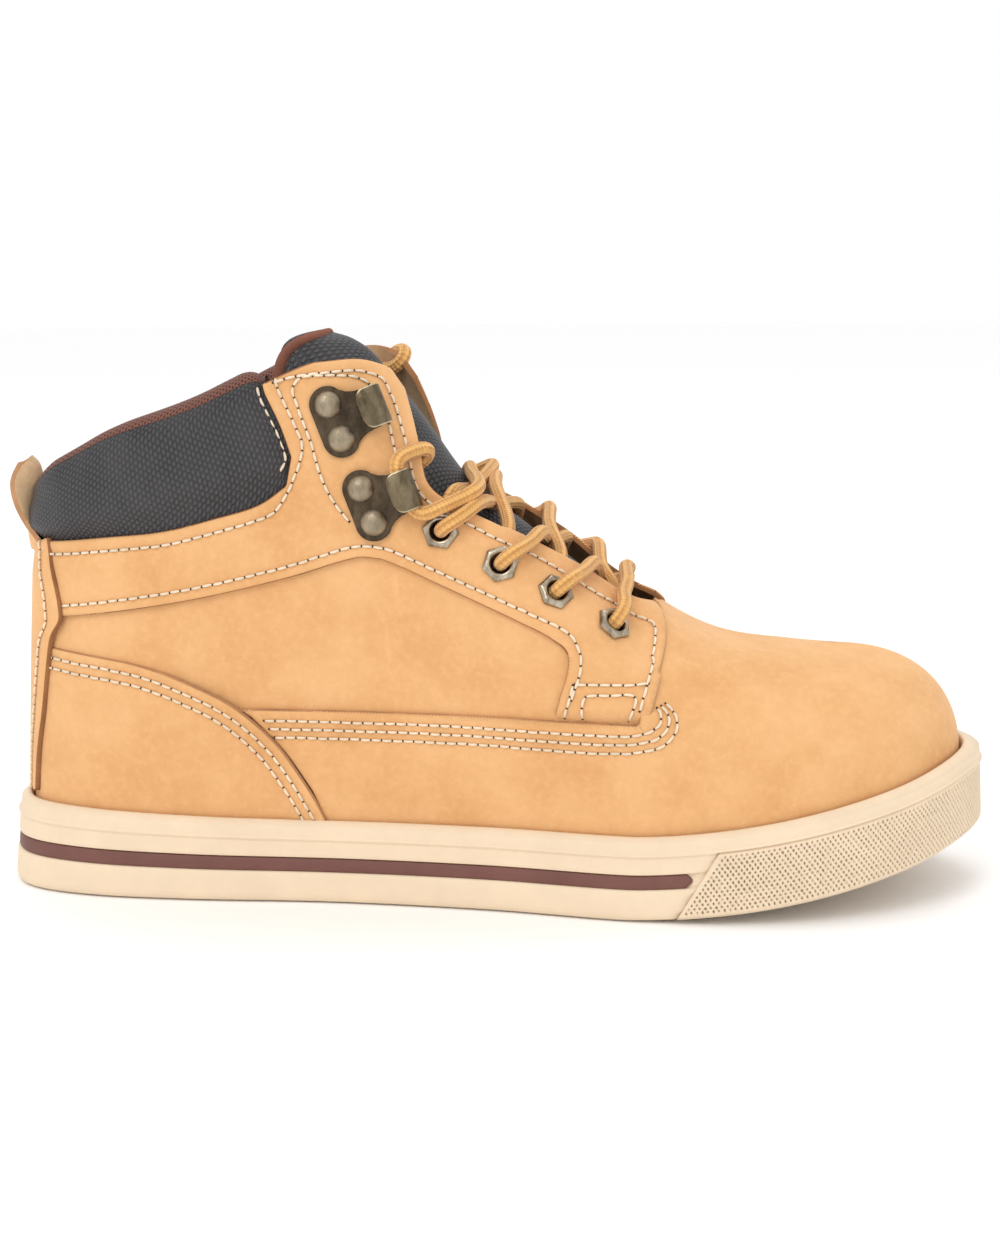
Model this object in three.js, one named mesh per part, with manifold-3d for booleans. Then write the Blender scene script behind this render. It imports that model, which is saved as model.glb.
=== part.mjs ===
// A right-foot steel toe work boot: cupsole, leather upper in overlapping panels, padded collar,
// tongue, lace hardware and lace, with the steel toe cap, steel midsole and linings inside.
// Millimetres. +X points to the toe, +Z up, and -Y to the outer (lateral) side of the foot.
// The origin is on the floor under the middle of the boot.
import * as THREE from "three";
import { mergeVertices } from "three/addons/utils/BufferGeometryUtils.js";
import Module from "manifold-3d";

const wasm = await Module();
wasm.setup();

// ---- driving sizes ----
const LENGTH = 305; // sole, heel to toe
const HALF_LENGTH = LENGTH / 2;
const GAP = 0.3; // air between touching pieces
const LEATHER = 2; // thickness of one leather panel
const TOE_SPRING = 20; // lift of the sole's edge at the toe
const SPRING_START = 40; // where along X the toe spring begins
const WALL_HEIGHT = 24.3; // top of the sidewall at the waist
const HEEL_RISE = 3.5; // extra height of the sidewall at the heel
const TOE_RISE = 19; // extra height of the sidewall at the toe
const UPPER_INSET = 9.3; // from the sole's outline in to the upper's reference surface
const TUCK = 4; // how far the upper reaches down inside the sidewall
const TOP_INSET = 4.6; // the sidewall's top edge leans in by this
const LIP = 1.8; // thickness of the sidewall's top edge
const CUP_FLOOR = 8; // thickness of the outsole under the midsole insert
const INNER_SPRING = 0.8; // the layers inside the cup take this share of the toe spring
const EYELET_HOLE = 3.9; // radius of the hole in the leather
const EYELET_BARREL = 3.4;
const EYELET_BORE = 2.9;
const EYELET_ACROSS = 5.6; // from the middle to a corner
const LACE_RADIUS = 2;
const TONGUE_HALF_WIDTH = 19;
const TAB_WIDTH = 20;

// ---- colours ----
const NUBUCK = 0xe8b878;
const CREAM = 0xe6cfa8;
const finish = {
  nubuck: { color: NUBUCK, roughness: 0.9, metalness: 0 },
  cream: { color: CREAM, roughness: 0.7, metalness: 0 },
  maroon: { color: 0x5a2f2c, roughness: 0.6, metalness: 0 },
  charcoal: { color: 0x2f2c2e, roughness: 0.55, metalness: 0 },
  brownMesh: { color: 0x7a4a38, roughness: 0.95, metalness: 0 },
  foam: { color: 0xd8d2c0, roughness: 1, metalness: 0 },
  board: { color: 0xb9a98a, roughness: 1, metalness: 0 },
  steel: { color: 0x9a9da1, roughness: 0.4, metalness: 1 },
  rubber: { color: 0x2b2b2b, roughness: 0.9, metalness: 0 },
  nickel: { color: 0xa9a594, roughness: 0.35, metalness: 1 },
  brass: { color: 0x7a6c4c, roughness: 0.4, metalness: 1 },
  lace: { color: 0xd69a45, roughness: 0.9, metalness: 0 },
};

// ---- small maths ----
const clamp01 = (t) => Math.min(1, Math.max(0, t));
const mix = (a, b, t) => a + (b - a) * t;

function hermite(a, b, slopeA, slopeB, t) {
  const t2 = t * t;
  const t3 = t2 * t;
  return (
    a * (2 * t3 - 3 * t2 + 1) +
    slopeA * (t3 - 2 * t2 + t) +
    b * (3 * t2 - 2 * t3) +
    slopeB * (t3 - t2)
  );
}

// A smooth closed curve through equally spaced values.
function closedCurve(values, t) {
  const n = values.length;
  const k = Math.floor(t);
  const at = (i) => values[(((k + i) % n) + n) % n];
  return hermite(at(0), at(1), (at(1) - at(-1)) / 2, (at(2) - at(0)) / 2, t - k);
}

// A smooth open curve through rows of [key, value, value, ...]; column picks the value.
function tableCurve(rows, column, key) {
  let k = 0;
  while (k < rows.length - 2 && key > rows[k + 1][0]) k += 1;
  const slope = (i) => {
    const before = rows[Math.max(0, i - 1)];
    const after = rows[Math.min(rows.length - 1, i + 1)];
    return (after[column] - before[column]) / (after[0] - before[0]);
  };
  const step = rows[k + 1][0] - rows[k][0];
  const t = clamp01((key - rows[k][0]) / step);
  return hermite(rows[k][column], rows[k + 1][column], slope(k) * step, slope(k + 1) * step, t);
}

// ---- the sole's outline ----
// Stations run round the outline: 0 at the back of the heel, 5 at the lateral waist, 10 at the
// toe and 15 at the medial waist. Y of the outline at each whole station:
const OUTLINE_Y = [
  0, -20.5, -30.5, -34, -34.5, -39.5, -48.5, -49, -37, -15, 8,
  31, 44.5, 49.5, 47.5, 39, 34, 34.5, 31, 20.5,
];
const STATIONS = OUTLINE_Y.length;
const TOE_STATION = STATIONS / 2;

function outline(station, inset) {
  const angle = (Math.PI * station) / TOE_STATION;
  const at = (s) =>
    new THREE.Vector2(
      -HALF_LENGTH * Math.cos((Math.PI * s) / TOE_STATION),
      closedCurve(OUTLINE_Y, s),
    );
  const step = 0.02;
  const along = at(station + step).sub(at(station - step)).normalize();
  const point = at(station);
  // Going round by the lateral side, the inside of the outline is on the left.
  return new THREE.Vector2(point.x - along.y * inset, point.y + along.x * inset);
}

const soleBottom = (x) => TOE_SPRING * clamp01((x - SPRING_START) / (HALF_LENGTH - SPRING_START)) ** 1.6;
const wallTop = (x) =>
  WALL_HEIGHT +
  HEEL_RISE * clamp01((-x - 50) / 100) ** 1.5 +
  TOE_RISE * clamp01((x - 45) / 101.5) ** 1.5;
// The centre line bends to the medial side towards the toe.
const ridgeY = (x) => 8 * clamp01(x / 106) ** 1.5;

// ---- the upper's reference surface ----
// The edge where each station's rising line ends: the collar's rim from the heel to the front of
// the shaft, then the ridge over the instep down to the toe. [station, x, half width, z]
const RIM = [
  [0, -138.5, 0, 118],
  [1, -132, 14, 121],
  [2, -113, 23.5, 131],
  [3, -88, 28, 144],
  [4, -62, 28.5, 156.5],
  [4.5, -48, 26, 162],
  [5, -36, 21, 163],
  [5.4, -27, 14, 156],
  [5.8, -19, 6.5, 143],
  [6.2, -9, 0, 129],
  [6.6, 12, 0, 115],
  [7, 38, 0, 95],
  [7.5, 57, 0, 81.5],
  [8, 72, 0, 75],
  [9, 93, 0, 72.2],
  [10, 106, 0, 71.2],
];
const RIDGE_STATION = 6.2; // from here to the toe the two sides meet on the ridge
const CREST = RIM.filter(([station]) => station >= RIDGE_STATION).map(([, x, , z]) => [x, z]);
const SIDE_BULGE = 2.5;
// Exponent of the arches, under 1 for a fuller shape than an ellipse, by station
const ROUNDNESS = [
  [0, 0.87],
  [4, 0.87],
  [6.6, 0.76],
  [8, 0.82],
  [10, 0.87],
];
// How far a rising line is an arch and not straight, by station: [station, height, length]
const ARCH = [
  [0, 0, 0],
  [3, 0, 0],
  [5, 0.35, 0],
  [7, 1, 0.7],
  [8, 1, 1],
  [10, 1, 1],
];

const fold = (station) => {
  const s = ((station % STATIONS) + STATIONS) % STATIONS;
  return s > TOE_STATION ? STATIONS - s : s;
};
const sideOf = (station) => ((((station % STATIONS) + STATIONS) % STATIONS) > TOE_STATION ? 1 : -1);

// A point of the reference surface: v is 0 at the sole and 1 at the rim or ridge.
function surface(station, v) {
  const folded = fold(station);
  const base = outline(station, UPPER_INSET);
  const baseZ = wallTop(base.x) - TUCK;
  const halfWidth = folded >= RIDGE_STATION ? 0 : tableCurve(RIM, 2, folded);
  const rimX = tableCurve(RIM, 1, folded);
  const rimY = ridgeY(rimX) + sideOf(station) * halfWidth;
  const rimZ = tableCurve(RIM, 3, folded);
  const angle = (v * Math.PI) / 2;
  const roundness = tableCurve(ROUNDNESS, 1, folded);
  const rise = Math.sin(angle) ** roundness;
  const lean = 1 - Math.max(0, Math.cos(angle)) ** roundness;
  const up = mix(v, rise, tableCurve(ARCH, 1, folded));
  const back = mix(up, lean, tableCurve(ARCH, 2, folded));
  const fullness = Math.max(0, Math.sin(Math.PI * up)) ** 1.5;
  const bulge = SIDE_BULGE * fullness * Math.sin((Math.PI * folded) / TOE_STATION);
  const x = mix(base.x, rimX, back);
  // Over the instep a rising line climbs to the height that the ridge has at its own x.
  const crest = mix(rimZ, tableCurve(CREST, 1, Math.max(x, rimX)), clamp01((folded - 6) / 0.7));
  return new THREE.Vector3(
    x,
    mix(base.y, rimY, lean) + sideOf(station) * bulge,
    mix(baseZ, crest, up),
  );
}

function normalOf(station, v) {
  const ds = 0.02;
  const dv = 0.004;
  const along = surface(station + ds, v).sub(surface(station - ds, v));
  const up = surface(station, Math.min(1, v + dv)).sub(surface(station, Math.max(0, v - dv)));
  return new THREE.Vector3().crossVectors(along, up).normalize();
}

// At the rim the outward direction is shared by both sides of the ridge.
function outward(station, v) {
  const normal = normalOf(station, v);
  if (v < 1 || fold(station) < RIDGE_STATION) return normal;
  return normal.add(normalOf(STATIONS - station, v)).normalize();
}

const offsetPoint = (station, v, offset) =>
  surface(station, v).addScaledVector(outward(station, v), offset);

// The station and v of a point given in the side view, on the lateral (-1) or medial (1) side.
function locate(x, z, side) {
  const vAt = (station) => {
    let low = 0;
    let high = 1;
    for (let i = 0; i < 30; i += 1) {
      const middle = (low + high) / 2;
      if (surface(station, middle).z < z) low = middle;
      else high = middle;
    }
    return low;
  };
  let low = 1;
  let high = TOE_STATION - 0.5;
  for (let i = 0; i < 30; i += 1) {
    const middle = (low + high) / 2;
    const station = side < 0 ? middle : STATIONS - middle;
    if (surface(station, vAt(station)).x < x) low = middle;
    else high = middle;
  }
  const station = side < 0 ? low : STATIONS - low;
  return { station, v: vAt(station) };
}

// ---- solids ----
function meshSolid(positions, indices) {
  const geometry = new THREE.BufferGeometry();
  geometry.setAttribute("position", new THREE.Float32BufferAttribute(positions, 3));
  geometry.setIndex(indices);
  return solidFrom(geometry);
}

function solidFrom(geometry) {
  const bare = geometry.clone();
  bare.deleteAttribute("normal");
  bare.deleteAttribute("uv");
  const merged = mergeVertices(bare, 1e-3);
  return new wasm.Manifold(
    new wasm.Mesh({
      numProp: 3,
      vertProperties: new Float32Array(merged.attributes.position.array),
      triVerts: new Uint32Array(merged.index.array),
    }),
  );
}

function geometryFrom(solid) {
  const mesh = solid.getMesh();
  const geometry = new THREE.BufferGeometry();
  geometry.setAttribute("position", new THREE.BufferAttribute(mesh.vertProperties, 3));
  geometry.setIndex(new THREE.BufferAttribute(mesh.triVerts, 1));
  geometry.computeVertexNormals();
  return geometry;
}

// A solid whose skin runs through closed rings of points; the first and last rings lie folded
// flat on a line, so that they close it.
function ringSolid(rings) {
  const count = rings[0].length;
  const indices = [];
  for (let r = 0; r + 1 < rings.length; r += 1)
    for (let k = 0; k < count; k += 1) {
      const a = r * count + k;
      const b = r * count + ((k + 1) % count);
      indices.push(a, a + count, b, b, a + count, b + count);
    }
  return meshSolid(rings.flat().flatMap((p) => p.toArray()), indices);
}

// One layer of the whole upper, between two distances from the reference surface.
const SHELL_COLUMNS = 44;
const SHELL_ROWS = 6;
function layer(inner, outer) {
  const positions = [];
  const indices = [];
  const stations = Array.from({ length: SHELL_COLUMNS }, (_, i) => (i * STATIONS) / SHELL_COLUMNS);
  for (const offset of [outer, inner])
    for (const station of stations)
      for (let row = 0; row <= SHELL_ROWS; row += 1)
        positions.push(...offsetPoint(station, row / SHELL_ROWS, offset).toArray());
  const at = (skin, column, row) =>
    (skin * SHELL_COLUMNS + (column % SHELL_COLUMNS)) * (SHELL_ROWS + 1) + row;
  const quad = (a, b, c, d) => indices.push(a, b, c, a, c, d);
  for (let c = 0; c < SHELL_COLUMNS; c += 1) {
    for (let r = 0; r < SHELL_ROWS; r += 1) {
      quad(at(0, c, r), at(0, c + 1, r), at(0, c + 1, r + 1), at(0, c, r + 1));
      quad(at(1, c, r), at(1, c, r + 1), at(1, c + 1, r + 1), at(1, c + 1, r));
    }
    quad(at(0, c, 0), at(1, c, 0), at(1, c + 1, 0), at(0, c + 1, 0));
    const open =
      Math.min(fold(stations[c]), fold((stations[c] + STATIONS / SHELL_COLUMNS) % STATIONS)) <
      RIDGE_STATION;
    if (open) {
      const top = SHELL_ROWS;
      quad(at(0, c, top), at(0, c + 1, top), at(1, c + 1, top), at(1, c, top));
    }
  }
  return meshSolid(positions, indices);
}

// A block with the given side-view outline, from y0 to y1.
function sideBlock(shape, y0, y1) {
  const geometry = new THREE.ExtrudeGeometry(shape, {
    depth: y1 - y0,
    bevelEnabled: false,
    curveSegments: 1,
  });
  geometry.rotateX(Math.PI / 2);
  geometry.translate(0, y1, 0);
  return solidFrom(geometry);
}

// Joins runs of [x, z] points into one closed shape. A run is smoothed when it is long.
function outlineShape(runs) {
  const points = runs.flatMap((run) => {
    const corners = run.map(([x, z]) => new THREE.Vector2(x, z));
    return run.length > 2 ? new THREE.SplineCurve(corners).getPoints(run.length * 2) : corners;
  });
  return new THREE.Shape(points);
}

// ---- lines of the panels, in the side view ----
const PAD_BOTTOM = [[-160, 107], [-136, 107.5], [-111, 110.3], [-94.5, 112.3], [-79.6, 116.1], [-65, 120.6], [-57, 126]];
const PAD_FRONT = [[-55.4, 134.4], [-58.4, 143.3], [-62.9, 153.4], [-64.3, 170]];
const EYESTAY_TOP = [[-62.6, 158.2], [-46.3, 161.4], [-31, 160.3], [-24.5, 153]];
const THROAT = [[-21.5, 144.6], [-18.6, 135.2], [-15.7, 125], [-8.1, 120.3], [12, 109.3], [24, 102.2], [38, 92.5], [45, 87.5]];
const QUARTER_FRONT = [[51, 84], [52.3, 79], [51.2, 70], [49.7, 58.8]];
const BAND_LOW = [[-160, 82], [-133, 84.5], [-110.8, 87.6], [-85.2, 92.1], [-56, 99], [-36, 105.6]];
const FACING_LOW = [[-31, 105.6], [-16.8, 100], [10, 88], [22.5, 82], [27.3, 74.9], [24.1, 65.5], [21.5, 58.8]];
const COUNTER_TOP = [[-160, 79], [-134.5, 75.6], [-104.2, 71.6], [-87.4, 66.1], [-74.8, 59.4], [-63.1, 48.9], [-55.7, 38.6], [-48.5, 25.9], [-45, 15]];
const LINING_FRONT = [[-44, 160.4], [-40, 140], [-28, 113], [-2, 93], [28, 76], [40, 62], [46, 48], [49.5, 15]];
const WING_TOP = 58; // height of the vamp wings' upper edge
const UNDERLAP = 12; // how far the quarters reach down under the wings
const FAR = 90; // beyond every piece, for the cutting blocks

const shifted = (run, dx, dz) => run.map(([x, z]) => [x + dx, z + dz]);
const reversed = (run) => [...run].reverse();
const halfBlock = (shape, side) =>
  side < 0 ? sideBlock(shape, -FAR, -GAP / 2) : sideBlock(shape, GAP / 2, FAR);
const box = (x0, x1, z0, z1, halfWidth = FAR) =>
  sideBlock(outlineShape([[[x0, z0], [x1, z0]], [[x1, z1], [x0, z1]]]), -halfWidth, halfWidth);
// The opening over the instep, which no panel of the shaft crosses.
const THROAT_HALF_WIDTH = 15;
const throatBlock = () => box(-40, 60, 70, 180, THROAT_HALF_WIDTH);
// The wider room that the tongue needs inside the lining.
const tongueRoom = () => box(-60, 60, 100, 180, TONGUE_HALF_WIDTH + 1);

const overlayLayer = layer(GAP, GAP + LEATHER);
const baseLayer = layer(-LEATHER, 0);
const stiffLayer = layer(-LEATHER - GAP - 1.8, -LEATHER - GAP);
const liningLayer = layer(-6.2, -4.7);

// ---- eyelets and hooks on the eyestays ----
const EYELETS = [[37.9, 83.9], [21.4, 94], [6.1, 102.8], [-11.3, 112.5]];
const HOOKS = [
  { rivets: [[-34.8, 124.4], [-30.6, 115.8]], lip: [-21, 124.5] },
  { rivets: [[-44.4, 149], [-40.6, 139.8]], lip: [-30.6, 148.8] },
];
const SIDES = [
  { name: "lateral", sign: -1 },
  { name: "medial", sign: 1 },
];

// A frame standing on the surface at a side-view point: Z outward, X towards another point.
function placeOn(x, z, side, offset, towards) {
  const { station, v } = locate(x, z, side);
  const normal = outward(station, v);
  const origin = offsetPoint(station, v, offset);
  const aim = locate(towards[0], towards[1], side);
  const axisX = surface(aim.station, aim.v).sub(surface(station, v));
  axisX.addScaledVector(normal, -axisX.dot(normal)).normalize();
  const axisY = new THREE.Vector3().crossVectors(normal, axisX);
  return new THREE.Matrix4().makeBasis(axisX, axisY, normal).setPosition(origin);
}

const STAND_OFF = LEATHER + 1.5; // from the reference surface to the foot of eyelets and hooks
const eyeletFrame = ([x, z], side) => placeOn(x, z, side, STAND_OFF, [x + 6, z - 4]);

function eyeletHoles(side) {
  return EYELETS.map((at) => {
    const hole = new THREE.CylinderGeometry(EYELET_HOLE, EYELET_HOLE, 24, 8).rotateX(Math.PI / 2);
    return solidFrom(hole.applyMatrix4(eyeletFrame(at, side)));
  });
}
const holes = { "-1": eyeletHoles(-1), 1: eyeletHoles(1) };
const drilled = (solid, side) => holes[side].reduce((left, hole) => left.subtract(hole), solid);

// ---- leather panels ----
function vampSolid() {
  const shape = outlineShape([
    shifted(reversed(COUNTER_TOP).slice(0, 5), 0.6, 0.3),
    [[-70.5, WING_TOP - GAP], [40, WING_TOP - GAP]],
    shifted(reversed(QUARTER_FRONT), GAP * 2, -GAP * 2),
    [[52.6, 110], [165, 110]],
    [[165, 10], [-44, 10]],
  ]);
  return overlayLayer.intersect(sideBlock(shape, -FAR, FAR));
}

function quarterSolid(side) {
  const shape = outlineShape([
    [[-160, WING_TOP - UNDERLAP], [49, WING_TOP - UNDERLAP]],
    reversed(QUARTER_FRONT),
    reversed(THROAT),
    reversed(EYESTAY_TOP),
    shifted(reversed(PAD_FRONT).slice(1), GAP, 0),
    shifted(reversed(PAD_BOTTOM), 0, -GAP),
  ]);
  return drilled(baseLayer.intersect(halfBlock(shape, side)).subtract(throatBlock()), side);
}

function eyestaySolid(side) {
  const shape = outlineShape([
    BAND_LOW,
    FACING_LOW,
    reversed(QUARTER_FRONT),
    reversed(THROAT),
    reversed(EYESTAY_TOP),
    shifted(reversed(PAD_FRONT).slice(1), GAP, 0),
    shifted(reversed(PAD_BOTTOM), 0, -GAP),
  ]);
  return drilled(overlayLayer.intersect(halfBlock(shape, side)).subtract(throatBlock()), side);
}

function counterSolid(side) {
  const shape = outlineShape([COUNTER_TOP, [[-45, 10], [-160, 10]]]);
  return overlayLayer.intersect(halfBlock(shape, side));
}

// The back strip is a long leaf over the heel seam, cut by an outline seen from behind.
function backStripSolid() {
  const half = [
    [13.4, 29.5], [14.4, 42], [16, 54], [17.2, 69], [17.9, 76.5], [19.3, 80.5],
    [19.1, 85], [18.2, 91], [16.6, 99], [15.4, 105.5],
  ];
  const mirrored = reversed(half).map(([y, z]) => [-y, z]);
  const geometry = new THREE.ExtrudeGeometry(outlineShape([half, mirrored]), {
    depth: 60,
    bevelEnabled: false,
  });
  geometry.rotateX(Math.PI / 2);
  geometry.rotateZ(Math.PI / 2);
  geometry.translate(-160, 0, 0);
  const strip = layer(2 * GAP + LEATHER, 2 * GAP + LEATHER + 1.5);
  return strip.intersect(solidFrom(geometry));
}

// ---- collar ----
const padShape = () =>
  outlineShape([PAD_BOTTOM, PAD_FRONT, [[-66, 175], [-160, 175]]]);
const PAD_INNER = -7;
function collarPadSolid() {
  return layer(PAD_INNER, 3.5).intersect(sideBlock(padShape(), -FAR, FAR));
}
function collarLiningSolid() {
  return layer(PAD_INNER - GAP - 1.2, PAD_INNER - GAP).intersect(sideBlock(padShape(), -FAR, FAR));
}
function shaftLiningSolid() {
  const shape = outlineShape([
    [[-160, 15], [49, 15]],
    reversed(LINING_FRONT),
    [[-62, 157.5], [-62, 155]],
    shifted(reversed(PAD_FRONT).slice(1), 2 * GAP, 0),
    shifted(reversed(PAD_BOTTOM), 0, -2 * GAP),
  ]);
  return liningLayer.intersect(sideBlock(shape, -FAR, FAR)).subtract(tongueRoom());
}

// ---- pieces inside the toe and heel ----
const CAP_REAR = 88;
const STRIP_WIDTH = 5;
const toeCapSolid = () => stiffLayer.intersect(box(CAP_REAR, 165, 10, 110));
const capStripSolid = () =>
  stiffLayer.intersect(box(CAP_REAR - GAP - STRIP_WIDTH, CAP_REAR - GAP, 10, 110));
const vampLiningSolid = () => liningLayer.intersect(box(52, 165, 10, 110));
function heelStiffenerSolid() {
  const shape = outlineShape([
    [[-160, 10], [-62, 10]],
    [[-66, 40], [-80, 62], [-100, 72], [-160, 76]],
  ]);
  return stiffLayer.intersect(sideBlock(shape, -FAR, FAR));
}

// ---- sole ----
const RING_POINTS = 44;
const STRIPE_END = 60; // the stripe stops here
const BUMPER_START = 63.5; // and the toe bumper starts here
const stationOfX = (x) => (TOE_STATION * Math.acos(-x / HALF_LENGTH)) / Math.PI;
const stationX = (station) => -HALF_LENGTH * Math.cos((Math.PI * fold(station)) / TOE_STATION);
// Evenly spaced, with close pairs where a recess of the sidewall ends.
const recessEnds = [STRIPE_END, STRIPE_END + 1, BUMPER_START - 0.5, BUMPER_START].map(stationOfX);
const ringStations = Array.from({ length: RING_POINTS }, (_, i) => (i * STATIONS) / RING_POINTS)
  .concat(recessEnds, recessEnds.map((s) => STATIONS - s))
  .sort((a, b) => a - b);
const innerFloor = (x, height) => height + INNER_SPRING * soleBottom(x);

function ring(inset, height) {
  return ringStations.map((station) => {
    const p = outline(station, typeof inset === "function" ? inset(station) : inset);
    return new THREE.Vector3(p.x, p.y, height(p.x));
  });
}
// The ring folded flat onto the middle line of the foot.
function spine(height) {
  return ringStations.map((station) => {
    const x = -0.75 * HALF_LENGTH * Math.cos((Math.PI * fold(station)) / TOE_STATION);
    return new THREE.Vector3(x, ridgeY(x), height(x));
  });
}

function slab(inset, low, high) {
  const floor = (x) => innerFloor(x, low);
  const roof = (x) => innerFloor(x, high);
  return ringSolid([spine(roof), ring(inset, roof), ring(inset, floor), spine(floor)]);
}

// Levels of the sidewall as shares of its height, and the recess for the stripe and the bumper.
const STRIPE_LOW = 0.38;
const STRIPE_HIGH = 0.55;
const BUMPER_HIGH = 0.82;
const RECESS = 1.5;
const wallHeight = (share) => (x) => mix(soleBottom(x), wallTop(x), share);
// The wall leans in towards its top, but not at the toe.
const leanAt = (x) => TOP_INSET - 1.6 - 2 * clamp01((x - 60) / 80);
const wallInset = (share, recess) => (station) => leanAt(stationX(station)) * share + recess(station);
const stripeRecess = (station) => (stationX(station) < STRIPE_END + 0.5 ? RECESS : 0);
const bumperRecess = (station) => (stationX(station) > BUMPER_START - 0.2 ? RECESS : 0);
const noRecess = () => 0;

function outsoleSolid() {
  const both = (station) => stripeRecess(station) + bumperRecess(station);
  const edge = 0.03;
  const innerInset = TOP_INSET + LIP;
  return ringSolid([
    spine((x) => innerFloor(x, CUP_FLOOR)),
    ring(innerInset, (x) => innerFloor(x, CUP_FLOOR)),
    ring(innerInset, (x) => wallTop(x) - GAP),
    ring(TOP_INSET, wallTop),
    ring(wallInset(BUMPER_HIGH + edge, noRecess), wallHeight(BUMPER_HIGH + edge)),
    ring(wallInset(BUMPER_HIGH, bumperRecess), wallHeight(BUMPER_HIGH)),
    ring(wallInset(STRIPE_HIGH + edge, bumperRecess), wallHeight(STRIPE_HIGH + edge)),
    ring(wallInset(STRIPE_HIGH, both), wallHeight(STRIPE_HIGH)),
    ring(wallInset(STRIPE_LOW, both), wallHeight(STRIPE_LOW)),
    ring(wallInset(STRIPE_LOW - edge, bumperRecess), wallHeight(STRIPE_LOW - edge)),
    ring(wallInset(0.12, bumperRecess), wallHeight(0.12)),
    ring((s) => 2 + bumperRecess(s), wallHeight(0)),
    spine(soleBottom),
  ]);
}

// A band let into the sidewall between two levels, over a range of stations.
function wallBand(from, to, low, high, columns) {
  const positions = [];
  const indices = [];
  for (let c = 0; c <= columns; c += 1) {
    const station = mix(from, to, c / columns);
    const corner = (share, depth) => {
      const p = outline(station, leanAt(stationX(station)) * share + depth);
      return [p.x, p.y, wallHeight(share)(p.x)];
    };
    positions.push(...corner(low, 0), ...corner(high, 0));
    positions.push(...corner(high, RECESS - GAP), ...corner(low, RECESS - GAP));
  }
  for (let c = 0; c < columns; c += 1)
    for (let k = 0; k < 4; k += 1) {
      const a = c * 4 + k;
      const b = c * 4 + ((k + 1) % 4);
      indices.push(a, a + 4, b + 4, a, b + 4, b);
    }
  const last = columns * 4;
  indices.push(0, 1, 2, 0, 2, 3, last, last + 2, last + 1, last, last + 3, last + 2);
  return meshSolid(positions, indices);
}
function stripeSolid() {
  const end = stationOfX(STRIPE_END - GAP);
  return wallBand(-end, end, STRIPE_LOW + 0.02, STRIPE_HIGH - 0.02, 44);
}
function bumperSolid() {
  const start = stationOfX(BUMPER_START + GAP);
  return wallBand(start, STATIONS - start, 0.03, BUMPER_HIGH - 0.02, 32);
}

// ---- tongue ----
// The middle line of the tongue's outer face in the side view, from its foot to its top.
const TONGUE_LINE = new THREE.SplineCurve(
  [[46, 80], [34, 87.5], [10, 105], [-9, 120], [-20.5, 136], [-29.5, 152], [-42, 167.5]].map(
    ([x, z]) => new THREE.Vector2(x, z),
  ),
);
const TONGUE_SAG = 9.5 / 20 ** 2; // the face falls away from its middle by this times y squared
function tonguePoint(t, across, depth) {
  const at = TONGUE_LINE.getPoint(t);
  const along = TONGUE_LINE.getTangent(t);
  const y = across * TONGUE_HALF_WIDTH;
  const down = TONGUE_SAG * y * y + depth;
  return [at.x - along.y * down, y, at.y + along.x * down];
}
function tongueLayer(outer, inner) {
  const rows = 10;
  const columns = 6;
  const positions = [];
  const indices = [];
  for (const depth of [outer, inner])
    for (let r = 0; r <= rows; r += 1)
      for (let c = 0; c <= columns; c += 1)
        positions.push(...tonguePoint(r / rows, (2 * c) / columns - 1, depth));
  const at = (skin, r, c) => (skin * (rows + 1) + r) * (columns + 1) + c;
  const quad = (a, b, c, d) => indices.push(a, b, c, a, c, d);
  for (let r = 0; r < rows; r += 1) {
    for (let c = 0; c < columns; c += 1) {
      quad(at(0, r, c), at(0, r, c + 1), at(0, r + 1, c + 1), at(0, r + 1, c));
      quad(at(1, r, c), at(1, r + 1, c), at(1, r + 1, c + 1), at(1, r, c + 1));
    }
    quad(at(0, r, 0), at(0, r + 1, 0), at(1, r + 1, 0), at(1, r, 0));
    quad(at(0, r, columns), at(1, r, columns), at(1, r + 1, columns), at(0, r + 1, columns));
  }
  for (let c = 0; c < columns; c += 1) {
    quad(at(0, 0, c), at(1, 0, c), at(1, 0, c + 1), at(0, 0, c + 1));
    quad(at(0, rows, c), at(0, rows, c + 1), at(1, rows, c + 1), at(1, rows, c));
  }
  return meshSolid(positions, indices);
}

// ---- pull tab ----
function pullTabSolid() {
  const outer = [[-144.9, 106.2], [-147.6, 113], [-148.6, 121], [-147.4, 127.5], [-144.5, 131.5]];
  const inner = shifted(reversed(outer), 1.5, -0.4);
  return sideBlock(outlineShape([outer, inner]), -TAB_WIDTH / 2, TAB_WIDTH / 2);
}

// ---- lacing hardware ----
// A hexagonal washer with a barrel through the leather.
function eyeletGeometry() {
  const profile = [
    [EYELET_BORE, -5],
    [EYELET_BARREL, -5],
    [EYELET_BARREL, 0],
    [EYELET_ACROSS, 0],
    [EYELET_ACROSS, 0.6],
    [EYELET_BORE + 0.4, 1.2],
    [EYELET_BORE, 0.8],
    [EYELET_BORE, -5],
  ];
  return new THREE.LatheGeometry(profile.map(([r, y]) => new THREE.Vector2(r, y)), 6)
    .rotateX(Math.PI / 2);
}

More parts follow.
